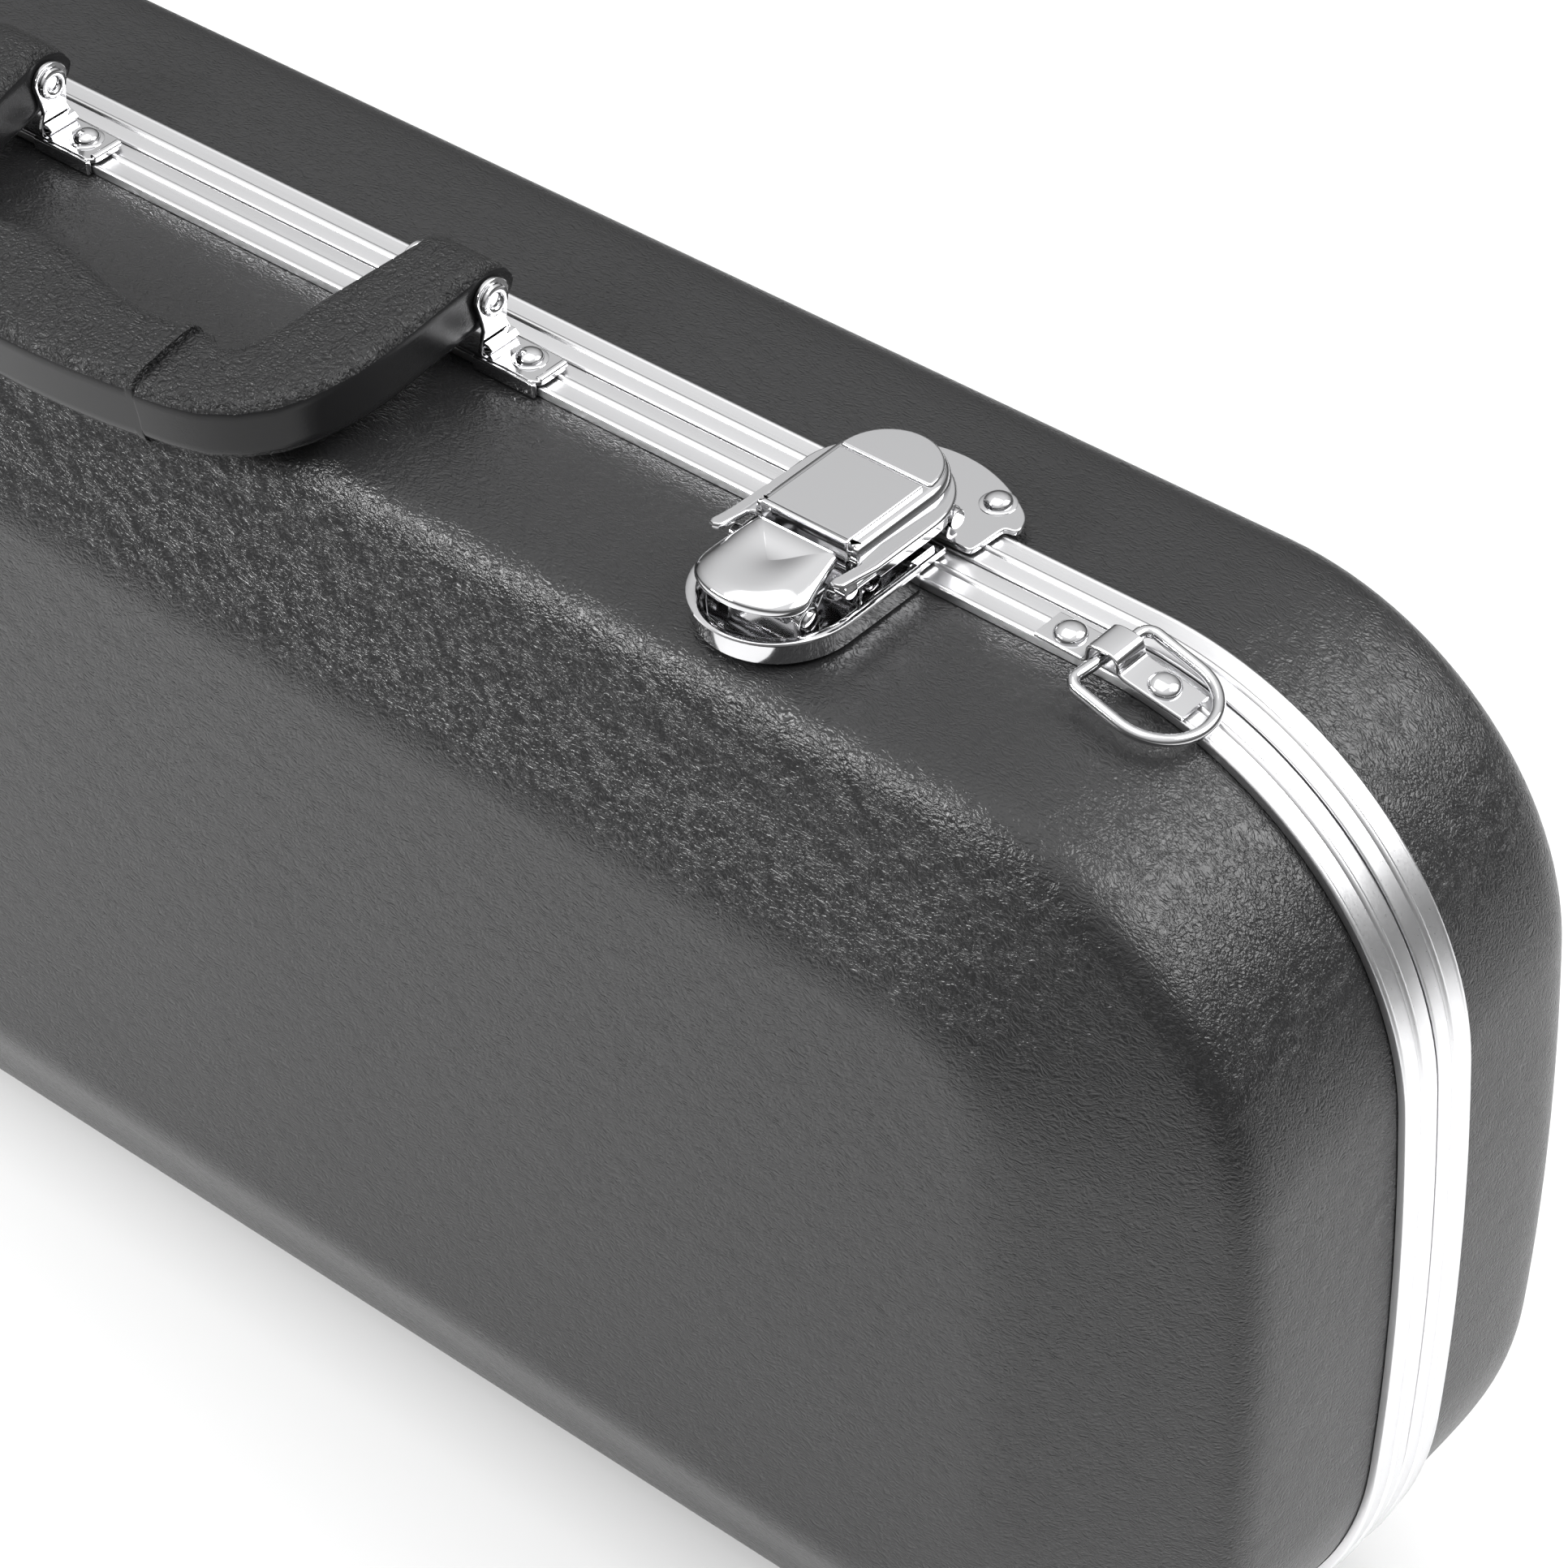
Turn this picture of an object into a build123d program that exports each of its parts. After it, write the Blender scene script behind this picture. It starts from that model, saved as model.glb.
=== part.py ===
from build123d import *
import os
from math import asin, atan2, cos, degrees, radians, sin

# Hard-shell violin case, standing on its hinge side with the handle up.
# Working frame, mm: +X towards the wide end, +Y towards the lid, +Z up.
# x = 0 where the wide-end corner begins, y = 0 on the split, z = 0 on the upper wall of the shells.

# ---- driving dimensions -------------------------------------------------------------------
CASE_LENGTH = 805.7
CORNER_R_TOP = 76.9
CORNER_R_LOW = 101.2
END_R = 800.0
CORNER_TURN = 88.3
END_TURN = 7.7
TAPER_START = -480.0
NARROW_W = 152.0
NARROW_CORNER_R = 56.0
SHOULDER_R = 190.0
WALL = 3.0
BASE_PROFILE = ((0, 0), (44, 1.0), (50, 2.6), (54.5, 5.5), (57.5, 9.5), (60, 14.5), (70.5, 37), (73, 44),
                (74, 51))
LID_PROFILE = ((0, 0), (42, 0.8), (48, 2.0), (52.5, 4.4), (55.7, 8), (58.2, 13), (69, 37), (71.3, 44),
               (72.3, 51))
SPLIT_GAP = 0.35
LIP_DEPTH = 1.5
FLANGE_INSET = 4.2
FLANGE_DEPTH = 7.6

VALANCE_W = 11.0
VALANCE_T = 2.15
BEAD_T = 0.65
BEAD_W = 2.4

PIN_FIT = 0.06
SHEET = 1.2
RIVET_R = 2.6
RIVET_H = 1.1

HANDLE_X = -250.0
HANDLE_ARM_OUT = 79.6
HANDLE_ARM_W = 19.6
HANDLE_CORNER_R = 36.0
HANDLE_CORNER_TURN = 73.2
HANDLE_STRAIGHT = 30.0
HANDLE_T = 16.0
GRIP_T = 17.6
HANDLE_TILT = 7.0
HANDLE_PIVOT_Y = -6.0
HANDLE_PIVOT_Z = 15.2
EAR_GAP = 20.8
EAR_W = 9.6

LATCH_XS = (-62.5, -433.5)
LATCH_W = 36.0
LATCH_LOW = -52.0
LATCH_HIGH = 12.0
TAB_AXIS = (-40.0, 7.5)
COVER_AXIS = (-21.0, 6.0)
LATCH_PIN_R = 1.5
LATCH_TOP = 15.4
TAB_PLATE_Z = 13.8
TAB_W = 26.6
RAIL_END = -38.0
RING_XS = (2.6, -575.0)

HINGE_XS = (-62.0, -392.0)
HINGE_LEN = 64.0
KNUCKLE_R = 2.7
KNUCKLES = 5
KNUCKLE_GAP = 0.4
HINGE_PIN_R = 1.2
FOOT_XS = (-34.0, -446.0)
FOOT_R = 9.0
FOOT_YS = (-36.0, 36.0)
FOOT_LIFT = 9.6

PIVOT_R = 2.4
BRACKET_T = 1.3
PLATE_TAIL = 19.0
ARM_XS = (HANDLE_X + HANDLE_ARM_OUT - HANDLE_ARM_W / 2, HANDLE_X - HANDLE_ARM_OUT + HANDLE_ARM_W / 2)

LATCH_EAR_X = 12.4
COVER_EAR_X = 9.9
LATCH_EAR_R = 3.0
PLATE_T = 1.6
TRAY_Z = 0.3
TRAY_RIM = 5.3
TRAY_END = -11.7
STRIKE_Z = VALANCE_T + BEAD_T + 0.05

RING_Y = -8.0
CLIP_W = 8.8
CLIP_T = 1.1
CLIP_Z = STRIKE_Z
BRIDGE_H = 4.6
RING_WIRE = 1.35
RING_HALF = 13.0
RING_Z = CLIP_Z + BRIDGE_H - RING_WIRE - 0.35
RING_REST = 2.0
CORNER_BEND = 8.6

FOAM_FIT = 0.15
FOAM_TOP = 8.0
FOAM_JOINT = 0.2
POCKET_FLOOR = 56.0
FOAM_JOINTS = (-600.0, -560.0, -392.0, -278.0, -100.0)
LID_JOINTS = (-660.0, -480.0, -240.0, 0.0, 50.0)
LOWER_BOUT = (-38.0, 107.0)
UPPER_BOUT = (-278.0, 86.0)
WAIST = (-160.0, 66.0)
SCROLL = (-640.0, 40.0)
NECK_HALF = 31.0
LID_PAD = 9.0
LID_FOAM_START = 10.0
BOX_X0 = -560.0
BOX_X1 = -392.0
BOX_WALL = 2.0
BOX_FIT = 0.3
BOX_TOP = 9.0
NECK_X = -430.0
BOW_LOOP_X = -10.0
SPINNER_X = -640.0
LID_INNER_Y = LID_PROFILE[-1][0] - WALL - LID_PAD


# ---- outline ------------------------------------------------------------------------------
def polar(centre, radius, angle):
    return (centre[0] + radius * cos(radians(angle)), centre[1] + radius * sin(radians(angle)))


ANGLE_A = 90 - CORNER_TURN
ANGLE_B = ANGLE_A - END_TURN
CENTRE_1 = (0, -CORNER_R_TOP)
POINT_1 = polar(CENTRE_1, CORNER_R_TOP, ANGLE_A)
CENTRE_2 = polar(POINT_1, -END_R, ANGLE_A)
POINT_2 = polar(CENTRE_2, END_R, ANGLE_B)
CENTRE_3 = polar(POINT_2, -CORNER_R_LOW, ANGLE_B)
BOTTOM_Z = CENTRE_3[1] - CORNER_R_LOW
WIDE_X = CENTRE_2[0] + END_R
NARROW_X = WIDE_X - CASE_LENGTH
MID_Z = BOTTOM_Z / 2
HINGE_Z = BOTTOM_Z - VALANCE_T - BEAD_T - KNUCKLE_R + 0.4
TAPER_RUN = TAPER_START - NARROW_X
TAPER_DROP = -(MID_Z + NARROW_W / 2)
TAPER_TURN = degrees(atan2(TAPER_DROP, TAPER_RUN))
BOX_Z0 = MID_Z + 42.0
BOX_Z1 = MID_Z + 92.0
FLAP_Y = -7.0
FLAP_Z = BOX_Z1 - 3.0
BOW_LOOP_ZS = (MID_Z + 52, MID_Z - 52)
SPINNER_ZS = (MID_Z + 20, MID_Z - 20)


def outline(inset=0.0):
    """Plan outline of the case as a face in X and Z, moved inwards by inset."""
    top_corner = CenterArc(CENTRE_1, CORNER_R_TOP, 90, -CORNER_TURN)
    end_arc = CenterArc(CENTRE_2, END_R, ANGLE_A, -END_TURN)
    low_corner = CenterArc(CENTRE_3, CORNER_R_LOW, ANGLE_B, -(90 + ANGLE_B))
    rest = Polyline(
        (CENTRE_3[0], BOTTOM_Z),
        (TAPER_START, BOTTOM_Z),
        (NARROW_X, MID_Z - NARROW_W / 2),
        (NARROW_X, MID_Z + NARROW_W / 2),
        (TAPER_START, 0),
        (0, 0),
    )
    face = make_face([top_corner, end_arc, low_corner] + list(rest.edges()))
    shoulders = [v for v in face.vertices() if abs(v.X - TAPER_START) < 1]
    face = fillet(shoulders, SHOULDER_R)
    tips = [v for v in face.vertices() if abs(v.X - NARROW_X) < 1]
    face = fillet(tips, NARROW_CORNER_R)
    return offset(face, amount=-inset) if inset else face


def section(inset, depth):
    """The outline laid upright at a depth towards -Y."""
    return Plane.XZ.offset(depth) * outline(inset)


def bowl(profile, inset, cut):
    """Solid tray below the split: profile moved in by inset, and its floor raised by cut."""
    scale = (profile[-1][0] - cut) / profile[-1][0]
    return loft([section(i + inset, d * scale) for d, i in profile], ruled=True)


def to_lid(shape):
    """Mirror a piece of the base half across the split into the lid half."""
    return mirror(shape, about=Plane.XZ)


def block(x0, x1, y0, y1, z0, z1):
    return Pos((x0 + x1) / 2, (y0 + y1) / 2, (z0 + z1) / 2) * Box(x1 - x0, y1 - y0, z1 - z0)


def rod_x(x0, x1, y, z, radius):
    return Pos((x0 + x1) / 2, y, z) * Rot(0, 90, 0) * Cylinder(radius, x1 - x0)


def rod_y(x, y0, y1, z, radius):
    return Pos(x, (y0 + y1) / 2, z) * Rot(90, 0, 0) * Cylinder(radius, y1 - y0)


def rod_z(x, y, z0, z1, radius):
    return Pos(x, y, (z0 + z1) / 2) * Cylinder(radius, z1 - z0)


def rivet(x, y, z, radius=RIVET_R, height=RIVET_H):
    """Domed rivet head that sits on a face at height z."""
    head = rod_z(x, y, z, z + height, radius)
    return fillet(head.edges().group_by(Axis.Z)[-1], height * 0.85)


# ---- shells, valances and linings -----------------------------------------------------------
def shell(profile):
    skin = bowl(profile, 0, 0) - bowl(profile, WALL, WALL)
    return skin - block(-900, 200, -LIP_DEPTH, 1, -400, 50)


def valance():
    """Aluminium edge channel of one half: a beaded outer band, a lip over the shell's edge, an inner flange."""
    outer = extrude(section(-VALANCE_T, SPLIT_GAP), amount=VALANCE_W - SPLIT_GAP)
    outer = chamfer(outer.edges().group_by(Axis.Y)[0], 0.5)
    bead_depth = (VALANCE_W - BEAD_W) / 2
    bead = extrude(section(-VALANCE_T - BEAD_T, bead_depth), amount=BEAD_W)
    bead = chamfer(bead.edges().group_by(Axis.Y)[0] + bead.edges().group_by(Axis.Y)[-1], 0.3)
    channel = extrude(section(-0.03, LIP_DEPTH), amount=VALANCE_W)
    mouth = extrude(section(FLANGE_INSET, 0), amount=VALANCE_W)
    flange = extrude(section(WALL + 0.25, SPLIT_GAP), amount=FLANGE_DEPTH - SPLIT_GAP)
    return outer + bead - channel + flange - mouth


def violin_pocket():
    """Violin-shaped hollow: wide lower bout, waist, upper bout, a neck channel and a well for the scroll."""
    lower = Pos(LOWER_BOUT[0], MID_Z) * Circle(LOWER_BOUT[1])
    upper = Pos(UPPER_BOUT[0], MID_Z) * Circle(UPPER_BOUT[1])
    half = [(LOWER_BOUT[0], 98), WAIST, (UPPER_BOUT[0], 80)]
    sides = [(x, MID_Z + h) for x, h in half] + [(x, MID_Z - h) for x, h in reversed(half)]
    body = make_face(Polyline(*sides, sides[0]).edges())
    neck_x0 = SCROLL[0]
    neck_x1 = UPPER_BOUT[0]
    neck = Pos((neck_x0 + neck_x1) / 2, MID_Z) * Rectangle(neck_x1 - neck_x0, 2 * NECK_HALF)
    scroll = Pos(SCROLL[0], MID_Z) * Circle(SCROLL[1])
    return extrude(Plane.XZ * (lower + upper + body + neck + scroll), amount=POCKET_FLOOR + 1)


def foam_bed(y0, y1, z0, z1):
    """Foam that fills the base shell between two heights and two depths."""
    return bowl(BASE_PROFILE, WALL + FOAM_FIT, WALL + FOAM_FIT) & block(-900, 200, y0, y1, z0, z1)


def liner_floor():
    """Flat foam sheet under the instrument."""
    return foam_bed(-90, -POCKET_FLOOR - FOAM_FIT, -400, 50)


def liner_side(z0, z1):
    """Plush-covered foam blocks along one side of the pocket, with a hole for the side compartment."""
    foam = foam_bed(-POCKET_FLOOR, -FOAM_TOP, z0, z1) - violin_pocket()
    foam -= block(BOX_X0, BOX_X1, -90, 1, BOX_Z0, BOX_Z1)
    foam -= block(BOX_X0, BOX_X1, -90, 1, 2 * MID_Z - BOX_Z1, 2 * MID_Z - BOX_Z0)
    for x in FOAM_JOINTS:
        foam -= block(x - FOAM_JOINT / 2, x + FOAM_JOINT / 2, -90, 1, -400, 50)
    return foam


def lid_foam(inset, y0, y1):
    """Foam body that follows the inside of the lid shell, kept between two heights above the split."""
    return to_lid(bowl(LID_PROFILE, inset, inset)) & block(-900, 200, y0, y1, -400, 50)


def lid_pad():
    """Flat padded panel against the lid's plateau."""
    return lid_foam(WALL + FOAM_FIT, LID_INNER_Y, 90)


def lid_liner():
    """Padded strips round the lid's walls, hollow over the instrument's arching and bridge."""
    foam = lid_foam(WALL + FOAM_FIT, LID_FOAM_START, LID_INNER_Y - FOAM_JOINT) - lid_foam(WALL + LID_PAD, 0, 90)
    for x in LID_JOINTS:
        foam -= block(x - FOAM_JOINT / 2, x + FOAM_JOINT / 2, 0, 90, -400, 50)
    return foam - block(-900, 200, 0, 90, MID_Z - FOAM_JOINT / 2, MID_Z + FOAM_JOINT / 2)


# ---- handle -----------------------------------------------------------------------------------
def handle_frame():
    """Frame on the pivot line at rest: local X along the case, local Y away from the pivot."""
    return Location((HANDLE_X, HANDLE_PIVOT_Y, HANDLE_PIVOT_Z), (HANDLE_TILT, 0, 0))


def handle_plan(inner_r):
    """C-shaped plan of the handle, arms towards +Y at the pivot, grip towards -Y."""
    out = HANDLE_ARM_OUT
    corner = (out - HANDLE_CORNER_R, -HANDLE_STRAIGHT)
    end = polar(corner, HANDLE_CORNER_R, -HANDLE_CORNER_TURN)
    crown_r = end[0] / sin(radians(90 - HANDLE_CORNER_TURN))
    crown = (0, end[1] - crown_r * (1 - sin(radians(HANDLE_CORNER_TURN))))
    outer = [
        Line((out, 0), (out, -HANDLE_STRAIGHT)),
        CenterArc(corner, HANDLE_CORNER_R, 0, -HANDLE_CORNER_TURN),
        ThreePointArc(end, crown, (-end[0], end[1])),
        CenterArc((-corner[0], corner[1]), HANDLE_CORNER_R, 180 + HANDLE_CORNER_TURN, -HANDLE_CORNER_TURN),
        Line((-out, -HANDLE_STRAIGHT), (-out, 0)),
    ]
    inside = out - HANDLE_ARM_W
    foot_x = inside - 5
    inner = Polyline((-out, 0), (-inside, 0), (-foot_x, -inner_r), (foot_x, -inner_r), (inside, 0), (out, 0))
    face = make_face(outer + list(inner.edges()))
    hollow = [v for v in face.vertices() if abs(v.Y + inner_r) < 0.01]
    return fillet(hollow, 11)


def handle_grip():
    """Moulded handle with round pivot ends and a raised finger grip in the middle."""
    body = extrude(handle_plan(46), amount=HANDLE_T / 2, both=True)
    rim = body.edges().filter_by(Plane.XY)
    body = fillet([e for e in rim if e.center().Y < -2], 3.5)
    for side in (-1, 1):
        x0 = side * HANDLE_ARM_OUT
        x1 = side * (HANDLE_ARM_OUT - HANDLE_ARM_W)
        body += rod_x(min(x0, x1), max(x0, x1), 0, 0, HANDLE_T / 2)
    grip = extrude(handle_plan(45) & (Pos(0, -60) * Rectangle(84, 40)), amount=GRIP_T / 2, both=True)
    body += fillet(grip.edges().filter_by(Plane.XY), 3.5)
    return handle_frame() * (body - rod_x(-200, 200, 0, 0, PIVOT_R + PIN_FIT))


def bracket(x):
    """Pressed bracket: a foot plate on the valance and two ears that hold one handle arm."""
    z0 = VALANCE_T + BEAD_T
    y0 = HANDLE_PIVOT_Y - EAR_W / 2
    y1 = HANDLE_PIVOT_Y + EAR_W / 2
    inner = EAR_GAP / 2
    plate = block(x - inner - BRACKET_T, x + inner + PLATE_TAIL, y0 - 2.0, y1, z0, z0 + BRACKET_T)
    lip = block(x - inner - BRACKET_T, x + inner + PLATE_TAIL, y0 - 2.0, y0 - 2.0 + BRACKET_T, 0.4, z0 + 0.1)
    piece = plate + lip
    for side in (-1, 1):
        xa = x + side * (inner + BRACKET_T / 2)
        ear = block(xa - BRACKET_T / 2, xa + BRACKET_T / 2, y0, y1, z0, HANDLE_PIVOT_Z)
        ear += rod_x(xa - BRACKET_T / 2, xa + BRACKET_T / 2, HANDLE_PIVOT_Y, HANDLE_PIVOT_Z, EAR_W / 2)
        piece += ear
    return piece - rod_x(x - 30, x + 30, HANDLE_PIVOT_Y, HANDLE_PIVOT_Z, PIVOT_R)


def pivot_pin(x):
    """Tubular rivet through both ears and the handle arm, with a rolled head at each end."""
    y = HANDLE_PIVOT_Y
    z = HANDLE_PIVOT_Z
    reach = EAR_GAP / 2 + BRACKET_T
    pin = rod_x(x - reach, x + reach, y, z, PIVOT_R)
    pin += rod_x(x + reach, x + reach + 0.9, y, z, 3.7)
    pin += rod_x(x - reach - 0.9, x - reach, y, z, 3.7)
    pin -= rod_x(x + reach - 3, x + reach + 1.2, y, z, 1.3)
    return pin - rod_x(x - reach - 1.2, x - reach + 3, y, z, 1.3)


def bracket_rivets():
    z = VALANCE_T + BEAD_T + BRACKET_T
    return Compound([rivet(x + EAR_GAP / 2 + 11, HANDLE_PIVOT_Y, z, 3.0, 1.2) for x in ARM_XS])


# ---- latches ----------------------------------------------------------------------------------

def stadium(x, y0, y1, width):
    """Slot-shaped face with round ends, long axis along Y."""
    return Pos(x, (y0 + y1) / 2) * Rot(0, 0, 90) * SlotOverall(y1 - y0, width)


def half_plane(x, y, side):
    """Large square face on one side of a line along X: side 1 keeps +Y, side -1 keeps -Y."""
    return Pos(x, y + side * 50) * Rectangle(100, 100)


def ear(x, axis, radius, z0):
    """Upright ear with a round top about a hinge axis."""
    y, z = axis
    post = block(x - PLATE_T / 2, x + PLATE_T / 2, y - radius, y + radius, z0, z)
    return post + rod_x(x - PLATE_T / 2, x + PLATE_T / 2, y, z, radius)


def latch_base(x):
    """Stadium tray riveted to the wall, with a tongue over the valance and two pairs of hinge ears."""
    outer = stadium(x, LATCH_LOW, 24, LATCH_W)
    inner = stadium(x, LATCH_LOW + SHEET, 24 - SHEET, LATCH_W - 2 * SHEET)
    tray = extrude(Pos(0, 0, TRAY_Z) * outer, amount=TRAY_RIM)
    tray -= extrude(Pos(0, 0, TRAY_Z + SHEET) * inner, amount=TRAY_RIM)
    tray -= block(x - 30, x + 30, TRAY_END, 40, -1, 9)
    half = LATCH_W / 2 - 1.5
    tray += block(x - half, x + half, TRAY_END - 0.9, TRAY_END + 0.5, TRAY_Z, STRIKE_Z + SHEET)
    tray += block(x - half, x + half, TRAY_END, -1, STRIKE_Z, STRIKE_Z + SHEET)
    for side in (-1, 1):
        tray += ear(x + side * LATCH_EAR_X, TAB_AXIS, LATCH_EAR_R, TRAY_Z)
        tray += ear(x + side * LATCH_EAR_X, COVER_AXIS, LATCH_EAR_R, TRAY_Z)
    for y, z in (TAB_AXIS, COVER_AXIS):
        tray -= rod_x(x - 30, x + 30, y, z, LATCH_PIN_R)
    return tray


def latch_pin(x, axis):
    y, z = axis
    reach = LATCH_EAR_X + PLATE_T / 2
    pin = rod_x(x - reach, x + reach, y, z, LATCH_PIN_R)
    for side in (-1, 1):
        xa = x + side * (reach + 0.4)
        pin += rod_x(xa - 0.4, xa + 0.4, y, z, 2.2)
    return pin


def latch_cover(x):
    """Draw plate: round-ended plate with a raised panel, rails beside the tab, and arms to its hinge pin."""
    edge_y = COVER_AXIS[0] - 4.4
    plan = stadium(x, LATCH_LOW, LATCH_HIGH, LATCH_W)
    hollow = stadium(x, LATCH_LOW + SHEET, LATCH_HIGH - SHEET, LATCH_W - 2 * SHEET)
    plate_plan = plan & half_plane(x, RAIL_END, 1)
    plate_plan -= Pos(x, edge_y - 50) * Rectangle(TAB_W + 1.8, 100)
    piece = extrude(Pos(0, 0, LATCH_TOP) * plate_plan, amount=PLATE_T)
    skirt_plan = (plan - hollow) & half_plane(x, COVER_AXIS[0] - 1, 1)
    piece += extrude(Pos(0, 0, LATCH_TOP - 3.2) * skirt_plan, amount=3.3)
    piece = fillet(piece.edges().group_by(Axis.Z)[-1], 0.8)
    panel = extrude(Pos(x, edge_y + 12.6, LATCH_TOP + PLATE_T - 0.2) * Rectangle(21.6, 24), amount=0.8)
    piece += fillet(panel.edges().group_by(Axis.Z)[-1], 0.4)
    for side in (-1, 1):
        xa = x + side * COVER_EAR_X
        piece += ear(xa, COVER_AXIS, LATCH_EAR_R, COVER_AXIS[1] - 0.1)
        piece += block(xa - PLATE_T / 2, xa + PLATE_T / 2, COVER_AXIS[0] - 3, COVER_AXIS[0] + 3,
                       COVER_AXIS[1], LATCH_TOP + 0.2)
    return piece - rod_x(x - 30, x + 30, COVER_AXIS[0], COVER_AXIS[1], LATCH_PIN_R + PIN_FIT)


def latch_tab(x):
    """Finger tab that is lifted to open the latch: a domed round-ended plate on a hinge barrel."""
    y, z = TAB_AXIS
    plan = stadium(x, LATCH_LOW, LATCH_HIGH, TAB_W) & half_plane(x, y + 12.2, -1)
    plate = extrude(Pos(0, 0, TAB_PLATE_Z) * plan, amount=2.2)
    plate = fillet(plate.edges().group_by(Axis.Z)[-1], 1.1)
    barrel = rod_x(x - 8.4, x + 8.4, y, z, 2.6)
    web = block(x - 8.4, x + 8.4, y - 1.2, y + 1.2, z, TAB_PLATE_Z + 0.1)
    return plate + barrel + web - rod_x(x - 30, x + 30, y, z, LATCH_PIN_R + PIN_FIT)


def latch_strike(x):
    """Catch plate on the lid: flat on the valance, stepped down to the wall, with a curled hook edge."""
    z0 = STRIKE_Z
    right = [(17, 4), (20, 15), (19.5, 21), (13, 28)]
    left = [(-a, b) for a, b in reversed(right)]
    plan = Polyline(*right, *left, right[0])
    face = fillet(make_face(plan.edges()).vertices(), 1.6)
    strike = extrude(Pos(x, 0, z0) * face, amount=SHEET)
    hook = block(x - 12, x + 12, 4, 5.2, z0, z0 + 5)
    curl = block(x - 12, x + 12, 4, 8.4, z0 + 4, z0 + 5.2)
    packer = block(x - 13, x + 13, 12, 26, 0.4, z0)
    return strike + hook + curl + packer


def strike_rivets():
    z = STRIKE_Z + SHEET
    return Compound([rivet(x + side * 11.5, 18.8, z) for x in LATCH_XS for side in (-1, 1)])


def latch_rivets():
    return Compound([rivet(x + side * 6, -24, TRAY_Z + SHEET, 2.2, 0.9) for x in LATCH_XS for side in (-1, 1)])


# ---- strap rings ------------------------------------------------------------------------------

def on_corner(x):
    """Frame on the wide-end corner of the upper outline, +X downhill."""
    turn = degrees(asin(x / CORNER_R_TOP))
    drop = CORNER_R_TOP * (1 - cos(radians(turn)))
    return Location((x, RING_Y, -drop), (0, turn, 0))


def on_taper(x):
    """Frame on the tapered part of the upper outline, turned round so that +X is downhill."""
    drop = (TAPER_START - x) * TAPER_DROP / TAPER_RUN
    return Location((x, RING_Y, -drop), (0, -TAPER_TURN, 0)) * Rot(0, 0, 180)


def clip_piece(bend):
    """Ring clip in its own frame: two riveted tabs and a bridge that holds the straight side of the ring."""
    half = CLIP_W / 2
    left = block(-17, -4.0, -half, half, CLIP_Z, CLIP_Z + CLIP_T)
    bridge = block(-4.0, 4.5, -half, half, CLIP_Z, CLIP_Z + BRIDGE_H + CLIP_T)
    bridge -= block(-2.9, 3.4, -20, 20, CLIP_Z - 1, CLIP_Z + BRIDGE_H)
    return left + bridge + far_tab(bend) * block(-0.8, 16.6, -half, half, 0, CLIP_T)


def far_tab(bend):
    """Frame of the clip's second tab, which is bent down to follow a curved wall."""
    return Location((4.0, 0, CLIP_Z + (0.5 if bend else 0)), (0, bend, 0))


def clip_rivets(bend):
    near_head = rivet(-11.0, 0, CLIP_Z + CLIP_T, 2.9, 1.3)
    far_head = far_tab(bend) * rivet(8.6, 0, CLIP_T, 2.9, 1.3)
    return Compound([near_head, far_head])


def ring_piece(bend):
    """D-ring in the clip's frame: straight bar under the bridge, half-round bow resting towards +X."""
    half = RING_HALF
    bar = Line((0, -half), (0, half))
    top = Line((0, half), (15, half))
    low = Line((15, -half), (0, -half))
    bow = CenterArc((15, 0), half, 90, -180)
    path = Wire([bar, top, bow, low])
    path = path.fillet_2d(3.0, [v for v in path.vertices() if abs(v.X) < 0.1])
    profile = Plane((8, half, 0), x_dir=(0, 1, 0), z_dir=(1, 0, 0)) * Circle(RING_WIRE)
    return Location((0, 0, RING_Z), (0, bend + RING_REST, 0)) * sweep(profile, path=path)


# ---- hinges and feet ----------------------------------------------------------------------------

def knuckle_spans(x, parity):
    step = HINGE_LEN / KNUCKLES
    start = x - HINGE_LEN / 2
    return [(start + n * step + KNUCKLE_GAP / 2, start + (n + 1) * step - KNUCKLE_GAP / 2)
            for n in range(KNUCKLES) if n % 2 == parity]


def hinge_leaf(x, parity, side):
    """Leaf on one valance half, with its share of the knuckles; side is -1 on the base and 1 on the lid."""
    z1 = BOTTOM_Z - VALANCE_T - BEAD_T
    y0 = side * (KNUCKLE_R + 0.5)
    y1 = side * (VALANCE_W + 1.0)
    leaf = block(x - HINGE_LEN / 2, x + HINGE_LEN / 2, min(y0, y1), max(y0, y1), z1 - SHEET, z1)
    for x0, x1 in knuckle_spans(x, parity):
        leaf += rod_x(x0, x1, 0, HINGE_Z, KNUCKLE_R)
        leaf += block(x0, x1, min(0, y0 + side), max(0, y0 + side), z1 - SHEET, z1 - 0.02)
    for x0, x1 in knuckle_spans(x, 1 - parity):
        room = KNUCKLE_R + 0.4
        leaf -= block(x0 - KNUCKLE_GAP, x1 + KNUCKLE_GAP, -room, room, HINGE_Z - 9, z1 + 1)
    leaf -= block(x - HINGE_LEN, x + HINGE_LEN, -20, 20, z1, z1 + 5)
    return leaf - rod_x(x - 60, x + 60, 0, HINGE_Z, HINGE_PIN_R + PIN_FIT)


def hinge_rivets(side):
    z = BOTTOM_Z - VALANCE_T - BEAD_T - SHEET
    heads = []
    for x in HINGE_XS:
        for dx in (-HINGE_LEN / 2 + 7, 0, HINGE_LEN / 2 - 7):
            head = rod_z(x + dx, side * 7.8, z - 0.9, z, 2.2)
            heads.append(fillet(head.edges().group_by(Axis.Z)[0], 0.7))
    return Compound(heads)


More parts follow.
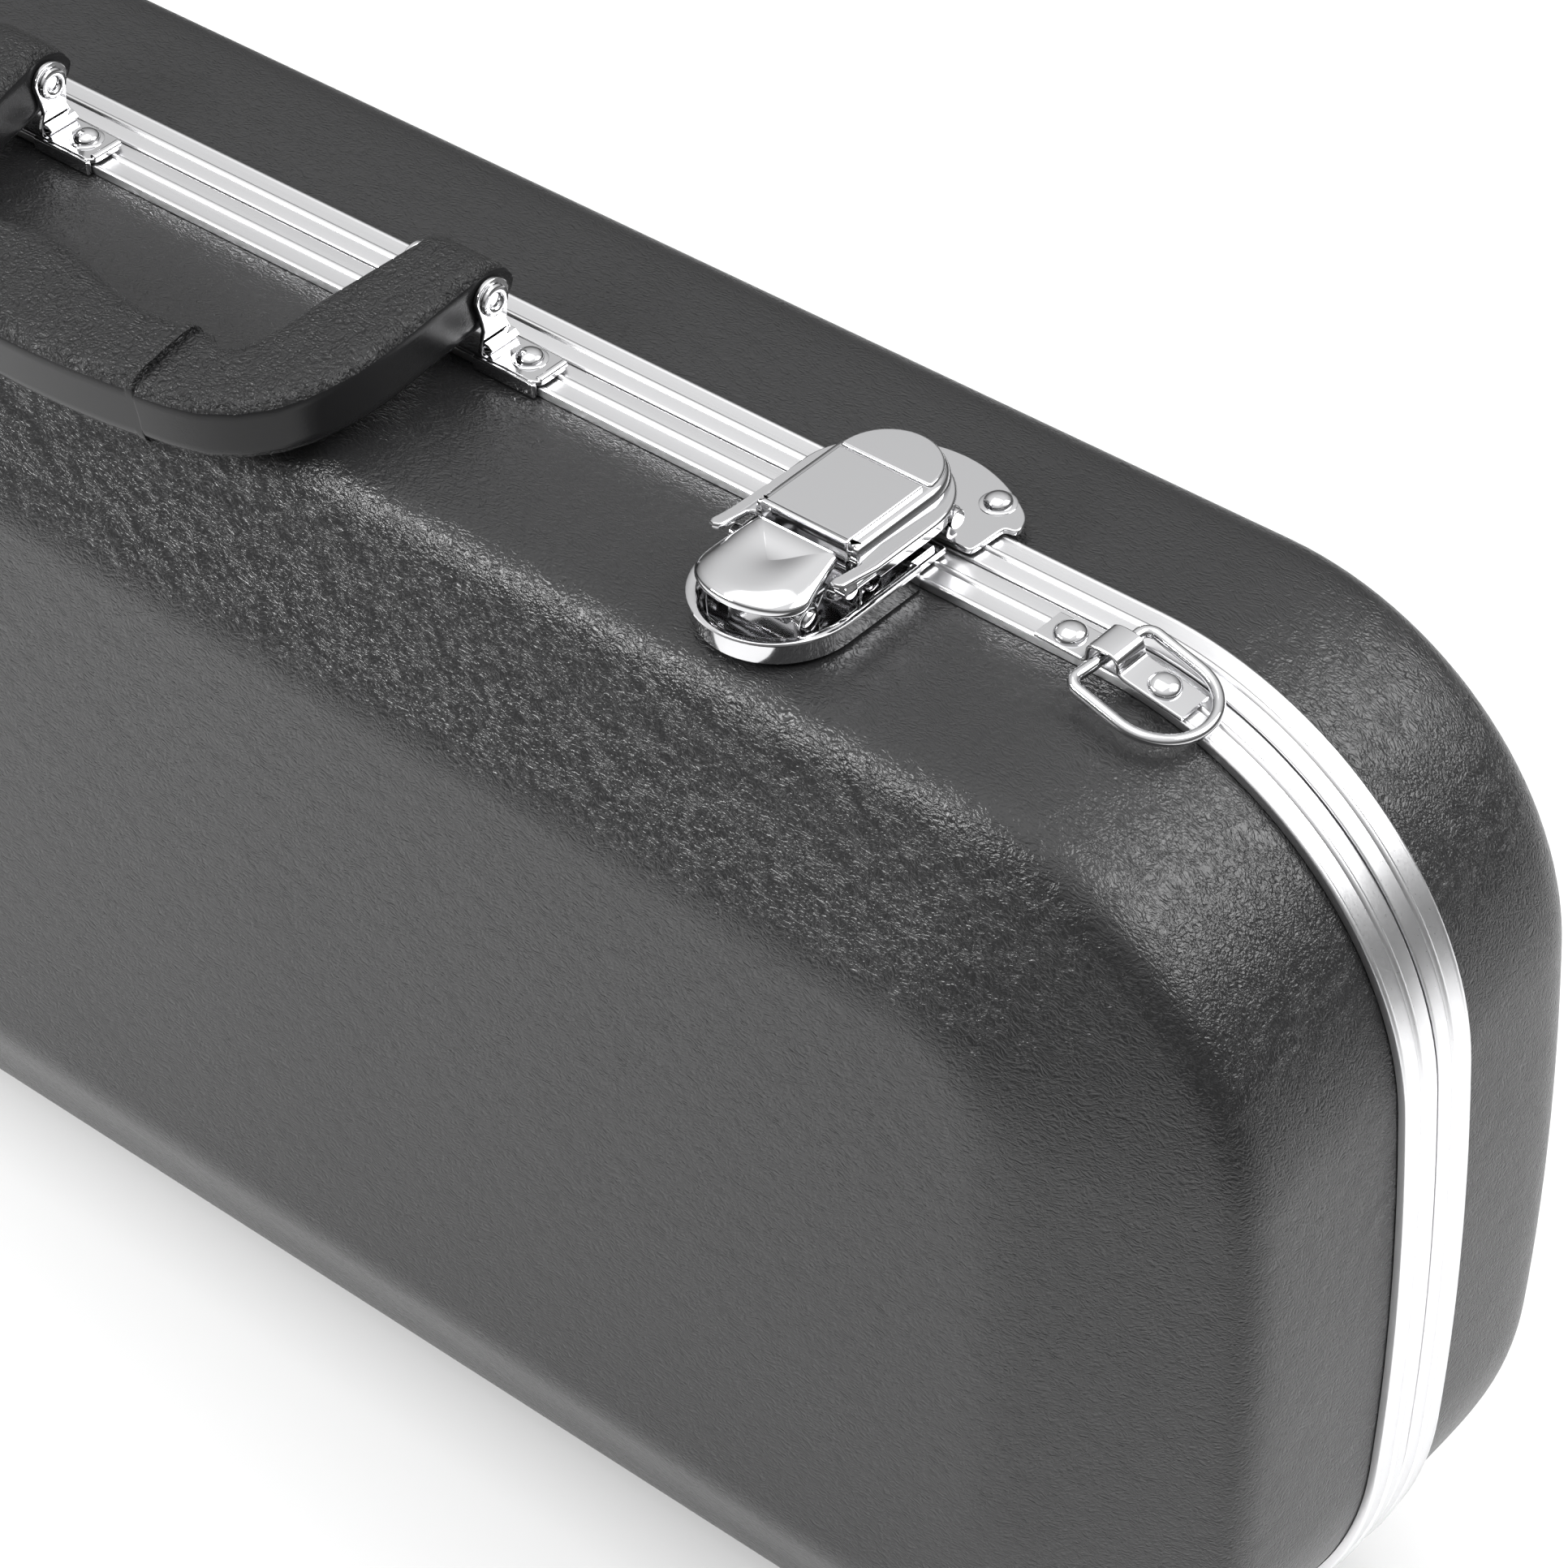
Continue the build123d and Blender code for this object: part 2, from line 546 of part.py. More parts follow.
def foot(x, y):
    """Turned rubber foot under a side wall."""
    z0 = BOTTOM_Z - FOOT_LIFT
    pad = Pos(x, y, z0 + (FOOT_LIFT + 0.4) / 2) * Cone(FOOT_R - 1.2, FOOT_R, FOOT_LIFT + 0.4)
    return fillet(pad.edges().group_by(Axis.Z)[0], 1.5)


# ---- interior pieces ----------------------------------------------------------------------------

def neck_cradle():
    """Padded saddle across the neck channel."""
    half = NECK_HALF - 0.2
    saddle = block(NECK_X - 16, NECK_X + 16, -POCKET_FLOOR, -16, MID_Z - half, MID_Z + half)
    return saddle - rod_x(NECK_X - 40, NECK_X + 40, -14, MID_Z, 17)


def neck_strap():
    """Webbing tie that lies closed over the saddle."""
    band = block(NECK_X - 11, NECK_X + 11, -14.6, -12.8, MID_Z - 30.5, MID_Z + 30.5)
    for side in (-1, 1):
        z = MID_Z + side * 27.5
        band += block(NECK_X - 11, NECK_X + 11, -16, -14.5, z - 3, z + 3)
    return band


def accessory_box(low):
    """Open-topped tray set into the liner beside the neck."""
    x0 = BOX_X0 + BOX_FIT
    x1 = BOX_X1 - BOX_FIT
    z0 = low + BOX_FIT
    z1 = low + BOX_Z1 - BOX_Z0 - BOX_FIT
    tray = block(x0, x1, -POCKET_FLOOR, -BOX_TOP, z0, z1)
    room = block(x0 + BOX_WALL, x1 - BOX_WALL, BOX_WALL - POCKET_FLOOR, 1, z0 + BOX_WALL, z1 - BOX_WALL)
    return tray - room


def accessory_lid():
    """Flat lid of the accessory box, hung from a barrel along its upper long edge."""
    flap = block(BOX_X0 + 1, BOX_X1 - 1, -8.6, -5.4, BOX_Z0 + 0.6, FLAP_Z - 1.0)
    return flap + rod_x(BOX_X0 + 1, BOX_X1 - 1, FLAP_Y, FLAP_Z, 1.6)


def lid_knob():
    return rod_y((BOX_X0 + BOX_X1) / 2, -5.4, -1.6, BOX_Z0 + 11, 5)


def spinner_base(z):
    """Round block on the lid lining that carries a bow spinner."""
    return rod_y(SPINNER_X, 34, LID_INNER_Y - 0.2, z, 9)


def spinner(z):
    """Turn-button that traps the bow: a round-ended bar on a short post."""
    bar = block(SPINNER_X - 6, SPINNER_X + 6, 22, 27, z - 14, z + 14)
    return fillet(bar.edges().filter_by(Axis.Y), 5) + rod_y(SPINNER_X, 27, 33.7, z, 4)


def bow_loop(z):
    """Padded loop that holds the bow's end."""
    loop = block(BOW_LOOP_X - 9, BOW_LOOP_X + 9, 34, LID_INNER_Y - 0.2, z - 12, z + 12)
    return loop - block(BOW_LOOP_X - 20, BOW_LOOP_X + 20, 38, 56, z - 8.5, z + 8.5)


# ---- build and export ---------------------------------------------------------------------------
pieces = {
    "base_shell": shell(BASE_PROFILE),
    "lid_shell": to_lid(shell(LID_PROFILE)),
    "base_valance": valance(),
    "lid_valance": to_lid(valance()),
    "liner_floor": liner_floor(),
    "liner_upper_side": liner_side(MID_Z + FOAM_JOINT / 2, 50),
    "liner_lower_side": liner_side(-400, MID_Z - FOAM_JOINT / 2),
    "lid_liner": lid_liner(),
    "lid_pad": lid_pad(),
    "handle_grip": handle_grip(),
    "handle_bracket_rivets": bracket_rivets(),
    "latch_base_rivets": latch_rivets(),
    "latch_strike_rivets": strike_rivets(),
    "hinge_base_rivets": hinge_rivets(-1),
    "hinge_lid_rivets": hinge_rivets(1),
    "base_feet": Compound([foot(x, FOOT_YS[0]) for x in FOOT_XS]),
    "lid_feet": Compound([foot(x, FOOT_YS[1]) for x in FOOT_XS]),
    "neck_cradle": neck_cradle(),
    "neck_strap": neck_strap(),
    "accessory_box": accessory_box(BOX_Z0),
    "side_tray": accessory_box(2 * MID_Z - BOX_Z1),
    "accessory_lid": accessory_lid(),
    "accessory_knob": lid_knob(),
}
for name, x in zip(("right", "left"), ARM_XS):
    pieces[f"handle_bracket_{name}"] = bracket(x)
    pieces[f"handle_pin_{name}"] = pivot_pin(x)
for name, x in zip(("right", "left"), LATCH_XS):
    pieces[f"latch_base_{name}"] = latch_base(x)
    pieces[f"latch_tab_pin_{name}"] = latch_pin(x, TAB_AXIS)
    pieces[f"latch_cover_pin_{name}"] = latch_pin(x, COVER_AXIS)
    pieces[f"latch_cover_{name}"] = latch_cover(x)
    pieces[f"latch_tab_{name}"] = latch_tab(x)
    pieces[f"latch_strike_{name}"] = latch_strike(x)
for name, seat, bend in (("right", on_corner(RING_XS[0]), CORNER_BEND), ("left", on_taper(RING_XS[1]), 0)):
    pieces[f"ring_clip_{name}"] = seat * clip_piece(bend)
    pieces[f"strap_ring_{name}"] = seat * ring_piece(bend)
    pieces[f"ring_rivets_{name}"] = seat * clip_rivets(bend)
for name, x in zip(("right", "left"), HINGE_XS):
    pieces[f"hinge_base_leaf_{name}"] = hinge_leaf(x, 0, -1)
    pieces[f"hinge_lid_leaf_{name}"] = hinge_leaf(x, 1, 1)
    pieces[f"hinge_pin_{name}"] = rod_x(x - HINGE_LEN / 2, x + HINGE_LEN / 2, 0, HINGE_Z, HINGE_PIN_R)
for name, z, loop_z in zip(("upper", "lower"), SPINNER_ZS, BOW_LOOP_ZS):
    pieces[f"bow_spinner_base_{name}"] = spinner_base(z)
    pieces[f"bow_spinner_{name}"] = spinner(z)
    pieces[f"bow_loop_{name}"] = bow_loop(loop_z)

box = Compound(list(pieces.values())).bounding_box()
origin = Pos(-box.center().X, -box.center().Y, -box.min.Z)
print(origin.position, box.size)
os.makedirs("parts", exist_ok=True)
for name, piece in pieces.items():
    export_step(origin * piece, f"parts/{name}.step")
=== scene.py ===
import math

import bmesh
import bpy
import mathutils
import numpy as np
from mathutils import Matrix, Vector

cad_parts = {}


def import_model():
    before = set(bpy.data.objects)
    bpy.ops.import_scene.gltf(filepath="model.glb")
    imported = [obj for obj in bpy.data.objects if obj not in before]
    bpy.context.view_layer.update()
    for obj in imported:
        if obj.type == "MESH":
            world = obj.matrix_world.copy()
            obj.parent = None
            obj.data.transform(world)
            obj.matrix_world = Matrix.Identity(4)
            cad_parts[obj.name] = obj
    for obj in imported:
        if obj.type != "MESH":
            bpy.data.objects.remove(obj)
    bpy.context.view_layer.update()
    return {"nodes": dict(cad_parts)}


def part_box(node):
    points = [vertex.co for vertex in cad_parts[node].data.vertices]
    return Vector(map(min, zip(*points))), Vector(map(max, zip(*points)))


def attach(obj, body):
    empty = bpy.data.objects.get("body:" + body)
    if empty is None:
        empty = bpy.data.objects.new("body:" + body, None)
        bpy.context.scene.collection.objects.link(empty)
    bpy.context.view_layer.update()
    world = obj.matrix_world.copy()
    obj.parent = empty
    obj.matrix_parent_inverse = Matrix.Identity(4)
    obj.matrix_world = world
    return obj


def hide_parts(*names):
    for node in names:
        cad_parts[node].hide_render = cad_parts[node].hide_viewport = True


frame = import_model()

# Hard-shell violin case. Lengths below are millimetres in the case's own frame: +X to the wide end,
# +Y to the lid, +Z up; x = 0 where the wide-end corner begins, y = 0 on the split, z = 0 on the upper wall.
MM = 0.001
CORNER_R_TOP = 76.9
CORNER_R_LOW = 101.2
END_R = 800.0
CORNER_TURN = 88.3
END_TURN = 7.7
TAPER_START = -480.0
CASE_LENGTH = 805.7
NARROW_W = 152.0
NARROW_CORNER_R = 56.0
SHOULDER_R = 190.0

shell_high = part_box("base_shell")[1]
split_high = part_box("base_valance")[1].y
split_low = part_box("lid_valance")[0].y


def polar(centre, radius, angle):
    a = math.radians(angle)
    return np.array([centre[0] + radius * math.cos(a), centre[1] + radius * math.sin(a)])


ANGLE_A = 90 - CORNER_TURN
ANGLE_B = ANGLE_A - END_TURN
CENTRE_1 = np.array([0.0, -CORNER_R_TOP])
CENTRE_2 = polar(polar(CENTRE_1, CORNER_R_TOP, ANGLE_A), -END_R, ANGLE_A)
CENTRE_3 = polar(polar(CENTRE_2, END_R, ANGLE_B), -CORNER_R_LOW, ANGLE_B)
BOTTOM_Z = CENTRE_3[1] - CORNER_R_LOW
WIDE_X = CENTRE_2[0] + END_R
NARROW_X = WIDE_X - CASE_LENGTH
MID_Z = BOTTOM_Z / 2
ORIGIN = Vector((shell_high.x - WIDE_X * MM, (split_high + split_low) / 2, shell_high.z))


def world(x, y, z):
    """Case frame in millimetres to the row frame in metres."""
    return Vector((ORIGIN.x + x * MM, ORIGIN.y + y * MM, ORIGIN.z + z * MM))


# ---- mesh helpers ----------------------------------------
IDENTITY = Matrix()


def smooth_mesh(mesh, sharp=32):
    """Smooth shading that keeps creases steeper than the angle."""
    mesh.polygons.foreach_set("use_smooth", [True] * len(mesh.polygons))
    mesh.set_sharp_from_angle(angle=math.radians(sharp))


def new_mesh(name, verts, faces, material=None, sharp=32):
    mesh = bpy.data.meshes.new(name)
    mesh.from_pydata([tuple(v) for v in verts], [], faces)
    mesh.validate()
    fix_normals(mesh)
    smooth_mesh(mesh, sharp)
    obj = bpy.data.objects.new(name, mesh)
    bpy.context.scene.collection.objects.link(obj)
    weigh = obj.modifiers.new("weighted_normals", "WEIGHTED_NORMAL")
    weigh.keep_sharp = True
    if material:
        mesh.materials.append(material)
    return obj


def fix_normals(mesh):
    bm = bmesh.new()
    bm.from_mesh(mesh)
    bmesh.ops.recalc_face_normals(bm, faces=bm.faces)
    bm.to_mesh(mesh)
    bm.free()


def grid_faces(rows, cols, closed=True):
    """Quads between consecutive rows of a grid; closed joins the last column to the first."""
    faces = []
    for r in range(rows - 1):
        for c in range(cols if closed else cols - 1):
            n = (c + 1) % cols
            faces.append((r * cols + c, r * cols + n, (r + 1) * cols + n, (r + 1) * cols + c))
    return faces


def row_face(row, cols):
    """One face that fills a row of a grid."""
    return tuple(range(row * cols, (row + 1) * cols))


def closing_faces(rows, cols):
    """Quads that join the last row of a grid to the first."""
    last = (rows - 1) * cols
    return [(last + c, last + (c + 1) % cols, (c + 1) % cols, c) for c in range(cols)]


def full_turn(count):
    """Equal angles once round, in radians."""
    return [2 * math.pi * k / count for k in range(count)]


def chaikin(points, rounds=3):
    """Corner cutting: a smooth curve inside a control line, ends kept."""
    pts = np.array(points, float)
    for _ in range(rounds):
        a, b = pts[:-1], pts[1:]
        cut = np.empty((2 * len(a), pts.shape[1]))
        cut[0::2] = 0.75 * a + 0.25 * b
        cut[1::2] = 0.25 * a + 0.75 * b
        pts = np.vstack([pts[:1], cut[1:-1], pts[-1:]])
    return pts


def inset(points, amount):
    """Counter-clockwise closed line moved inwards by amount."""
    p = np.array(points, float)
    along = np.roll(p, -1, 0) - np.roll(p, 1, 0)
    inward = np.stack([-along[:, 1], along[:, 0]], 1)
    inward /= np.linalg.norm(inward, axis=1)[:, None]
    return p + inward * amount


def bend_points(cx, cy, radius, start, end, count=10):
    """Points of an arc from one angle to another, in degrees."""
    return [tuple(polar((cx, cy), radius, start + (end - start) * i / count)) for i in range(count + 1)]


def rounded(corners, radius, count=6):
    """Counter-clockwise polygon with its corners rounded; radius is one number or one per corner."""
    pts = [np.array(c, float) for c in corners]
    out = []
    for i, here in enumerate(pts):
        r = radius[i] if isinstance(radius, (list, tuple)) else radius
        before, after = pts[i - 1], pts[(i + 1) % len(pts)]
        u = (before - here) / np.linalg.norm(before - here)
        v = (after - here) / np.linalg.norm(after - here)
        half = math.acos(float(np.clip(np.dot(u, v), -1, 1))) / 2
        reach = r / math.tan(half)
        a, b = here + u * reach, here + v * reach
        for k in range(count + 1):
            t = k / count
            out.append(tuple((1 - t) ** 2 * a + 2 * t * (1 - t) * here + t ** 2 * b))
    return out


def mirrored(line):
    """A line run backwards on the other side of the middle."""
    return [(-x, y) for x, y in reversed(line)]


def slab(a_low, a_high, b_low, b_high, radius):
    """Rounded rectangle between two limits on each axis."""
    return rounded([(a_low, b_low), (a_high, b_low), (a_high, b_high), (a_low, b_high)], radius)


def declare(obj, body, replaced):
    """Parent a piece to the empty of the body it rides on, and hide the CAD nodes it stands for."""
    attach(obj, body)
    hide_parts(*replaced)
    return obj


class Skin:
    """Several closed skins gathered into one mesh, placed by a seat matrix in case millimetres."""

    def __init__(self, seat=IDENTITY):
        self.seat = seat
        self.verts = []
        self.faces = []

    def add(self, points, faces):
        first = len(self.verts)
        self.verts += [world(*(self.seat @ Vector(p))) for p in points]
        self.faces += [tuple(first + i for i in f) for f in faces]
        return self

    def stack(self, loops, cap=True):
        """Closed loops of equal length joined one to the next."""
        cols = len(loops[0])
        faces = grid_faces(len(loops), cols)
        if cap:
            faces += [row_face(0, cols), row_face(len(loops) - 1, cols)]
        return self.add([p for loop in loops for p in loop], faces)

    def plate(self, plan, low, high, top=0.4, base=0.2, axes="xyz"):
        """Flat plate from a plan line, with rounded edges; axes says where plan and height go."""
        order = ["abh".index(c) for c in {"xyz": "abh", "xzy": "ahb", "yzx": "hab"}[axes]]
        loops = []
        for t in np.radians((0, 30, 60, 90)):
            loops.append((inset(plan, base * (1 - math.sin(t))), low + base * (1 - math.cos(t))))
        for t in np.radians((0, 18, 36, 54, 72, 90)):
            loops.append((inset(plan, top * (1 - math.cos(t))), high - top * (1 - math.sin(t))))
        solid = [[[(p[0], p[1], h)[k] for k in order] for p in line] for line, h in loops]
        return self.stack(solid)

    def tube(self, path, radius, count=16, closed=False):
        """Round bar along a path; radius is one number or one per point."""
        pts = [Vector(p) for p in path]
        radii = radius if isinstance(radius, (list, tuple)) else [radius] * len(pts)
        loops = []
        side = None
        for i, here in enumerate(pts):
            after = pts[(i + 1) % len(pts)] if closed or i + 1 < len(pts) else here
            before = pts[i - 1] if closed or i else here
            along = (after - before).normalized()
            side = along.orthogonal() if side is None else side - along * side.dot(along)
            side.normalize()
            other = along.cross(side)
            spokes = [side * math.cos(a) + other * math.sin(a) for a in full_turn(count)]
            loops.append([here + spoke * radii[i] for spoke in spokes])
        if closed:
            loops.append(loops[0])
        return self.stack(loops, cap=not closed)

    def layers(self, plan, shape):
        """Stack made from one plan line: shape lists the inset and height of each loop."""
        return self.stack([[(x, y, z) for x, y in inset(plan, i)] for i, z in shape])

    def cheeks(self, plan, inner, outer, edge=0.3):
        """The same upright plate, drawn in the y-z plane, on each side of the middle."""
        for side in (-1, 1):
            low, high = sorted((side * inner, side * outer))
            self.plate(plan, low, high, edge, edge, axes="yzx")

    def rod(self, start, end, radius, edge=0.3):
        """Straight bar with softened ends."""
        a, b = Vector(start), Vector(end)
        along = (b - a).normalized()
        path = [a, a + along * edge * 0.3, a + along * edge, b - along * edge, b - along * edge * 0.3, b]
        radii = [radius - edge, radius - edge * 0.3, radius, radius, radius - edge * 0.3, radius - edge]
        return self.tube(path, radii, 28)

    def lathe(self, profile, spot, axis=(0, 0, 1), count=32):
        """Turned piece: profile of (radius, height) about an axis through spot."""
        axis = Vector(axis).normalized()
        side = axis.orthogonal().normalized()
        other = axis.cross(side)
        spokes = [side * math.cos(a) + other * math.sin(a) for a in full_turn(count)]
        return self.stack([[Vector(spot) + axis * h + spoke * r for spoke in spokes] for r, h in profile])

    def ribbon(self, line, thick, low, high, axes, closed=False, edge=None):
        """Strip of sheet: a line of (a, b) with a thickness, and a width from low to high across it."""
        p = np.array(line, float)
        if closed:
            along = np.roll(p, -1, 0) - np.roll(p, 1, 0)
        else:
            along = np.gradient(p, axis=0)
        off = np.stack([-along[:, 1], along[:, 0]], 1)
        off /= np.linalg.norm(off, axis=1)[:, None]
        r = edge if edge else min(thick * 0.35, 0.5)
        h = thick / 2
        section = [(-h, low + r), (-h, high - r), (-h + r * 0.3, high - r * 0.3), (-h + r, high),
                   (h - r, high), (h - r * 0.3, high - r * 0.3), (h, high - r), (h, low + r),
                   (h - r * 0.3, low + r * 0.3), (h - r, low), (-h + r, low), (-h + r * 0.3, low + r * 0.3)]
        order = ["abw".index(c) for c in {"xzy": "awb", "zyx": "wba", "xyz": "abw", "yzx": "wab"}[axes]]
        loops = []
        for q, n in zip(p, off):
            loops.append([[(q[0] + n[0] * o, q[1] + n[1] * o, w)[k] for k in order] for o, w in section])
        if closed:
            loops.append(loops[0])
        return self.stack(loops, cap=not closed)

    def chrome(self, name, body, node, sharp=32):
        """Finish as one bright chrome piece that stands for one CAD node."""
        return self.finish(name, CHROME, body, [node], sharp)

    def finish(self, name, material, body, replaced, sharp=32):
        """Make the mesh object with its material, parent it to its body and hide the CAD nodes it replaces.
        """
        return declare(new_mesh(name, self.verts, self.faces, material, sharp), body, replaced)


def scaled(profile, share):
    """Turned profile made smaller or larger all over."""
    return [(r * share, h * share) for r, h in profile]


RIVET = ((3.1, -0.1), (3.15, 0.3), (3.0, 0.8), (2.6, 1.25), (1.9, 1.65), (1.0, 1.85), (0.05, 1.9))
WASHER = ((4.1, -0.1), (4.1, 0.12), (3.8, 0.3), (3.0, 0.34), (0.05, 0.34))


def move(x=0.0, y=0.0, z=0.0):
    return Matrix.Translation((x, y, z))


def turn(angle, axis):
    return Matrix.Rotation(math.radians(angle), 4, axis)


# ---- plan outline ----------------------------------------
def arc(centre, radius, start, sweep, step=4.0):
    """Points and outward normals along an arc, its last point left to the next part."""
    count = max(3, int(abs(math.radians(sweep)) * radius / step))
    angles = [start + sweep * i / count for i in range(count)]
    points = [polar(centre, radius, a) for a in angles]
    normals = [polar((0, 0), 1, a) for a in angles]
    return points, normals


def run(start, end, step=14.0):
    """Points and outward normals along a straight, its last point left to the next part."""
    start, end = np.array(start, float), np.array(end, float)
    along = (end - start) / np.linalg.norm(end - start)
    count = max(2, int(np.linalg.norm(end - start) / step))
    points = [start + (end - start) * i / count for i in range(count)]
    return points, [np.array([-along[1], along[0]])] * count


def outline():
    """Points and outward normals once round the case, clockwise from the wide-end upper corner."""
    drop = MID_Z + NARROW_W / 2
    taper = math.degrees(math.atan2(-drop, TAPER_START - NARROW_X))
    trim = SHOULDER_R * math.tan(math.radians(taper / 2))
    tip_turn = 90 - taper
    tip_trim = NARROW_CORNER_R * math.tan(math.radians(tip_turn / 2))
    slope = polar((0, 0), 1, taper)
    tip_top = np.array([NARROW_X, MID_Z + NARROW_W / 2])
    tip_low = np.array([NARROW_X, MID_Z - NARROW_W / 2])
    shoulder = TAPER_START + trim
    low_slope = np.array([slope[0], -slope[1]])
    low_centre = np.array([NARROW_X + NARROW_CORNER_R, tip_low[1] + tip_trim])
    high_centre = np.array([NARROW_X + NARROW_CORNER_R, tip_top[1] - tip_trim])
    to_end = np.array([NARROW_CORNER_R, 0])
    parts = [arc(CENTRE_1, CORNER_R_TOP, 90, -CORNER_TURN),
             arc(CENTRE_2, END_R, ANGLE_A, -END_TURN, 8.0),
             arc(CENTRE_3, CORNER_R_LOW, ANGLE_B, -(90 + ANGLE_B)),
             run((CENTRE_3[0], BOTTOM_Z), (shoulder, BOTTOM_Z)),
             arc((shoulder, BOTTOM_Z + SHOULDER_R), SHOULDER_R, -90, -taper),
             run(np.array([TAPER_START, BOTTOM_Z]) - low_slope * trim, tip_low + low_slope * tip_trim),
             arc(low_centre, NARROW_CORNER_R, -90 - taper, -tip_turn),
             run(low_centre - to_end, high_centre - to_end),
             arc(high_centre, NARROW_CORNER_R, 180, -tip_turn),
             run(tip_top + slope * tip_trim, np.array([TAPER_START, 0]) - slope * trim),
             arc((shoulder, -SHOULDER_R), SHOULDER_R, 90 + taper, -taper), run((shoulder, 0), (0, 0))]
    points = np.array([p for pts, _ in parts for p in pts])
    normals = np.array([n for _, nrm in parts for n in nrm])
    return points, normals


OUT_P, OUT_N = outline()
END_WEIGHT = np.clip(OUT_N[:, 0], 0, 1) ** 2 * (OUT_P[:, 0] > -200)


def ring(depth, inwards, side, end_inwards=None):
    """One loop of the shell at a depth from the split; how far inwards may differ on the wide end."""
    end_inwards = inwards if end_inwards is None else end_inwards
    amount = inwards * (1 - END_WEIGHT) + end_inwards * END_WEIGHT
    plan = OUT_P - OUT_N * amount[:, None]
    return [world(p[0], side * depth, p[1]) for p in plan]


# Shell sections as (depth from the split, distance inwards), on the long sides and on the wide end.
BASE_TOP = ((1.5, 0), (30, 0.3), (48, 0.9), (54, 2.3), (57.6, 6.0), (60.2, 12), (64.2, 23), (69.5, 35),
            (72.6, 42.5), (73.8, 48), (74, 52))
BASE_END = ((1.5, 0), (30, 0.3), (48, 0.8), (54, 1.9), (57.5, 4.6), (59.5, 9), (64.5, 24), (69.5, 39.5),
            (72.6, 50), (73.8, 57), (74, 63))
LID_TOP = ((1.5, 0), (28, 0.4), (42, 1.0), (49, 2.4), (53.5, 5.2), (56.6, 10), (62, 22), (67.8, 34.5),
           (71, 42.5), (72.1, 48), (72.3, 52))
LID_END = ((1.5, 0), (28, 0.4), (42, 1.0), (49, 2.6), (53.8, 6), (57, 11), (62.5, 25), (67.8, 38.5),
           (71, 49), (72.1, 56), (72.3, 62))


def shell_section(top, end):
    """Smoothed rows of (depth, inwards on the sides, inwards on the wide end)."""
    outer_top, outer_end = chaikin(top), chaikin(end)
    depths = outer_top[:, 0]
    return list(zip(depths, outer_top[:, 1], np.interp(depths, outer_end[:, 0], outer_end[:, 1])))


def shell(name, side, top, end, material):
    """Moulded half shell: outer skin from rim to plateau, inner skin, and the rim between them."""
    thick = 2.6
    profile = shell_section(top, end)
    deepest = profile[-1][0] - thick
    rows = [ring(d, i, side, e) for d, i, e in profile]
    inner = [ring(min(d, deepest), i + thick, side, e + thick) for d, i, e in profile][::-1]
    cols = len(OUT_P)
    verts = [v for row in rows + inner for v in row]
    total = len(rows) + len(inner)
    faces = grid_faces(total, cols)
    split = len(rows) - 1
    faces = [f for f in faces if not (min(f) // cols == split and max(f) // cols == split + 1)]
    faces += closing_faces(total, cols)
    faces += [row_face(split, cols), row_face(split + 1, cols)]
    return new_mesh(name, verts, faces, material, sharp=70)


# ---- materials -------------------------------------------
def set_inputs(node, values):
    for key, value in values.items():
        node.inputs[key].default_value = value


def new_material(name, color, roughness, metallic=0.0, specular=0.5, sheen=0.0):
    mat = bpy.data.materials.new(name)
    mat.use_nodes = True
    shader = mat.node_tree.nodes["Principled BSDF"]
    set_inputs(shader, {"Base Color": (*color, 1), "Roughness": roughness, "Metallic": metallic,
                        "Specular IOR Level": specular, "Sheen Weight": sheen})
    return mat, mat.node_tree, shader


def noise(tree, vector, scale, detail=2.0, rough=0.5):
    node = tree.nodes.new("ShaderNodeTexNoise")
    set_inputs(node, {"Scale": scale, "Detail": detail, "Roughness": rough})
    tree.links.new(vector, node.inputs["Vector"])
    return node


def stretched(tree, vector, scale):
    node = tree.nodes.new("ShaderNodeMapping")
    node.inputs["Scale"].default_value = scale
    tree.links.new(vector, node.inputs["Vector"])
    return node.outputs["Vector"]


def object_vector(tree):
    return tree.nodes.new("ShaderNodeTexCoord").outputs["Object"]


def warped(tree, vector, scale, amount):
    """Vector pushed about by a soft noise, so that lines wander."""
    push = noise(tree, vector, scale, 2.0)
    node = tree.nodes.new("ShaderNodeVectorMath")
    node.operation = "MULTIPLY_ADD"
    tree.links.new(push.outputs["Color"], node.inputs[0])
    node.inputs[1].default_value = (amount,) * 3
    tree.links.new(vector, node.inputs[2])
    return node.outputs[0]


def math_node(tree, op, *values):
    node = tree.nodes.new("ShaderNodeMath")
    node.operation = op
    for slot, value in enumerate(values):
        if isinstance(value, (int, float)):
            node.inputs[slot].default_value = value
        else:
            tree.links.new(value, node.inputs[slot])
    return node.outputs[0]


def spread(tree, value, low, high, start=0.0, stop=1.0, kind="LINEAR"):
    """Map the stretch from start to stop onto low to high."""
    node = tree.nodes.new("ShaderNodeMapRange")
    node.interpolation_type = kind
    set_inputs(node, {"From Min": start, "From Max": stop, "To Min": low, "To Max": high})
    tree.links.new(value, node.inputs["Value"])
    return node.outputs["Result"]


def bump(tree, shader, height, strength, distance):
    node = tree.nodes.new("ShaderNodeBump")
    set_inputs(node, {"Strength": strength, "Distance": distance})
    tree.links.new(height, node.inputs["Height"])
    tree.links.new(node.outputs["Normal"], shader.inputs["Normal"])


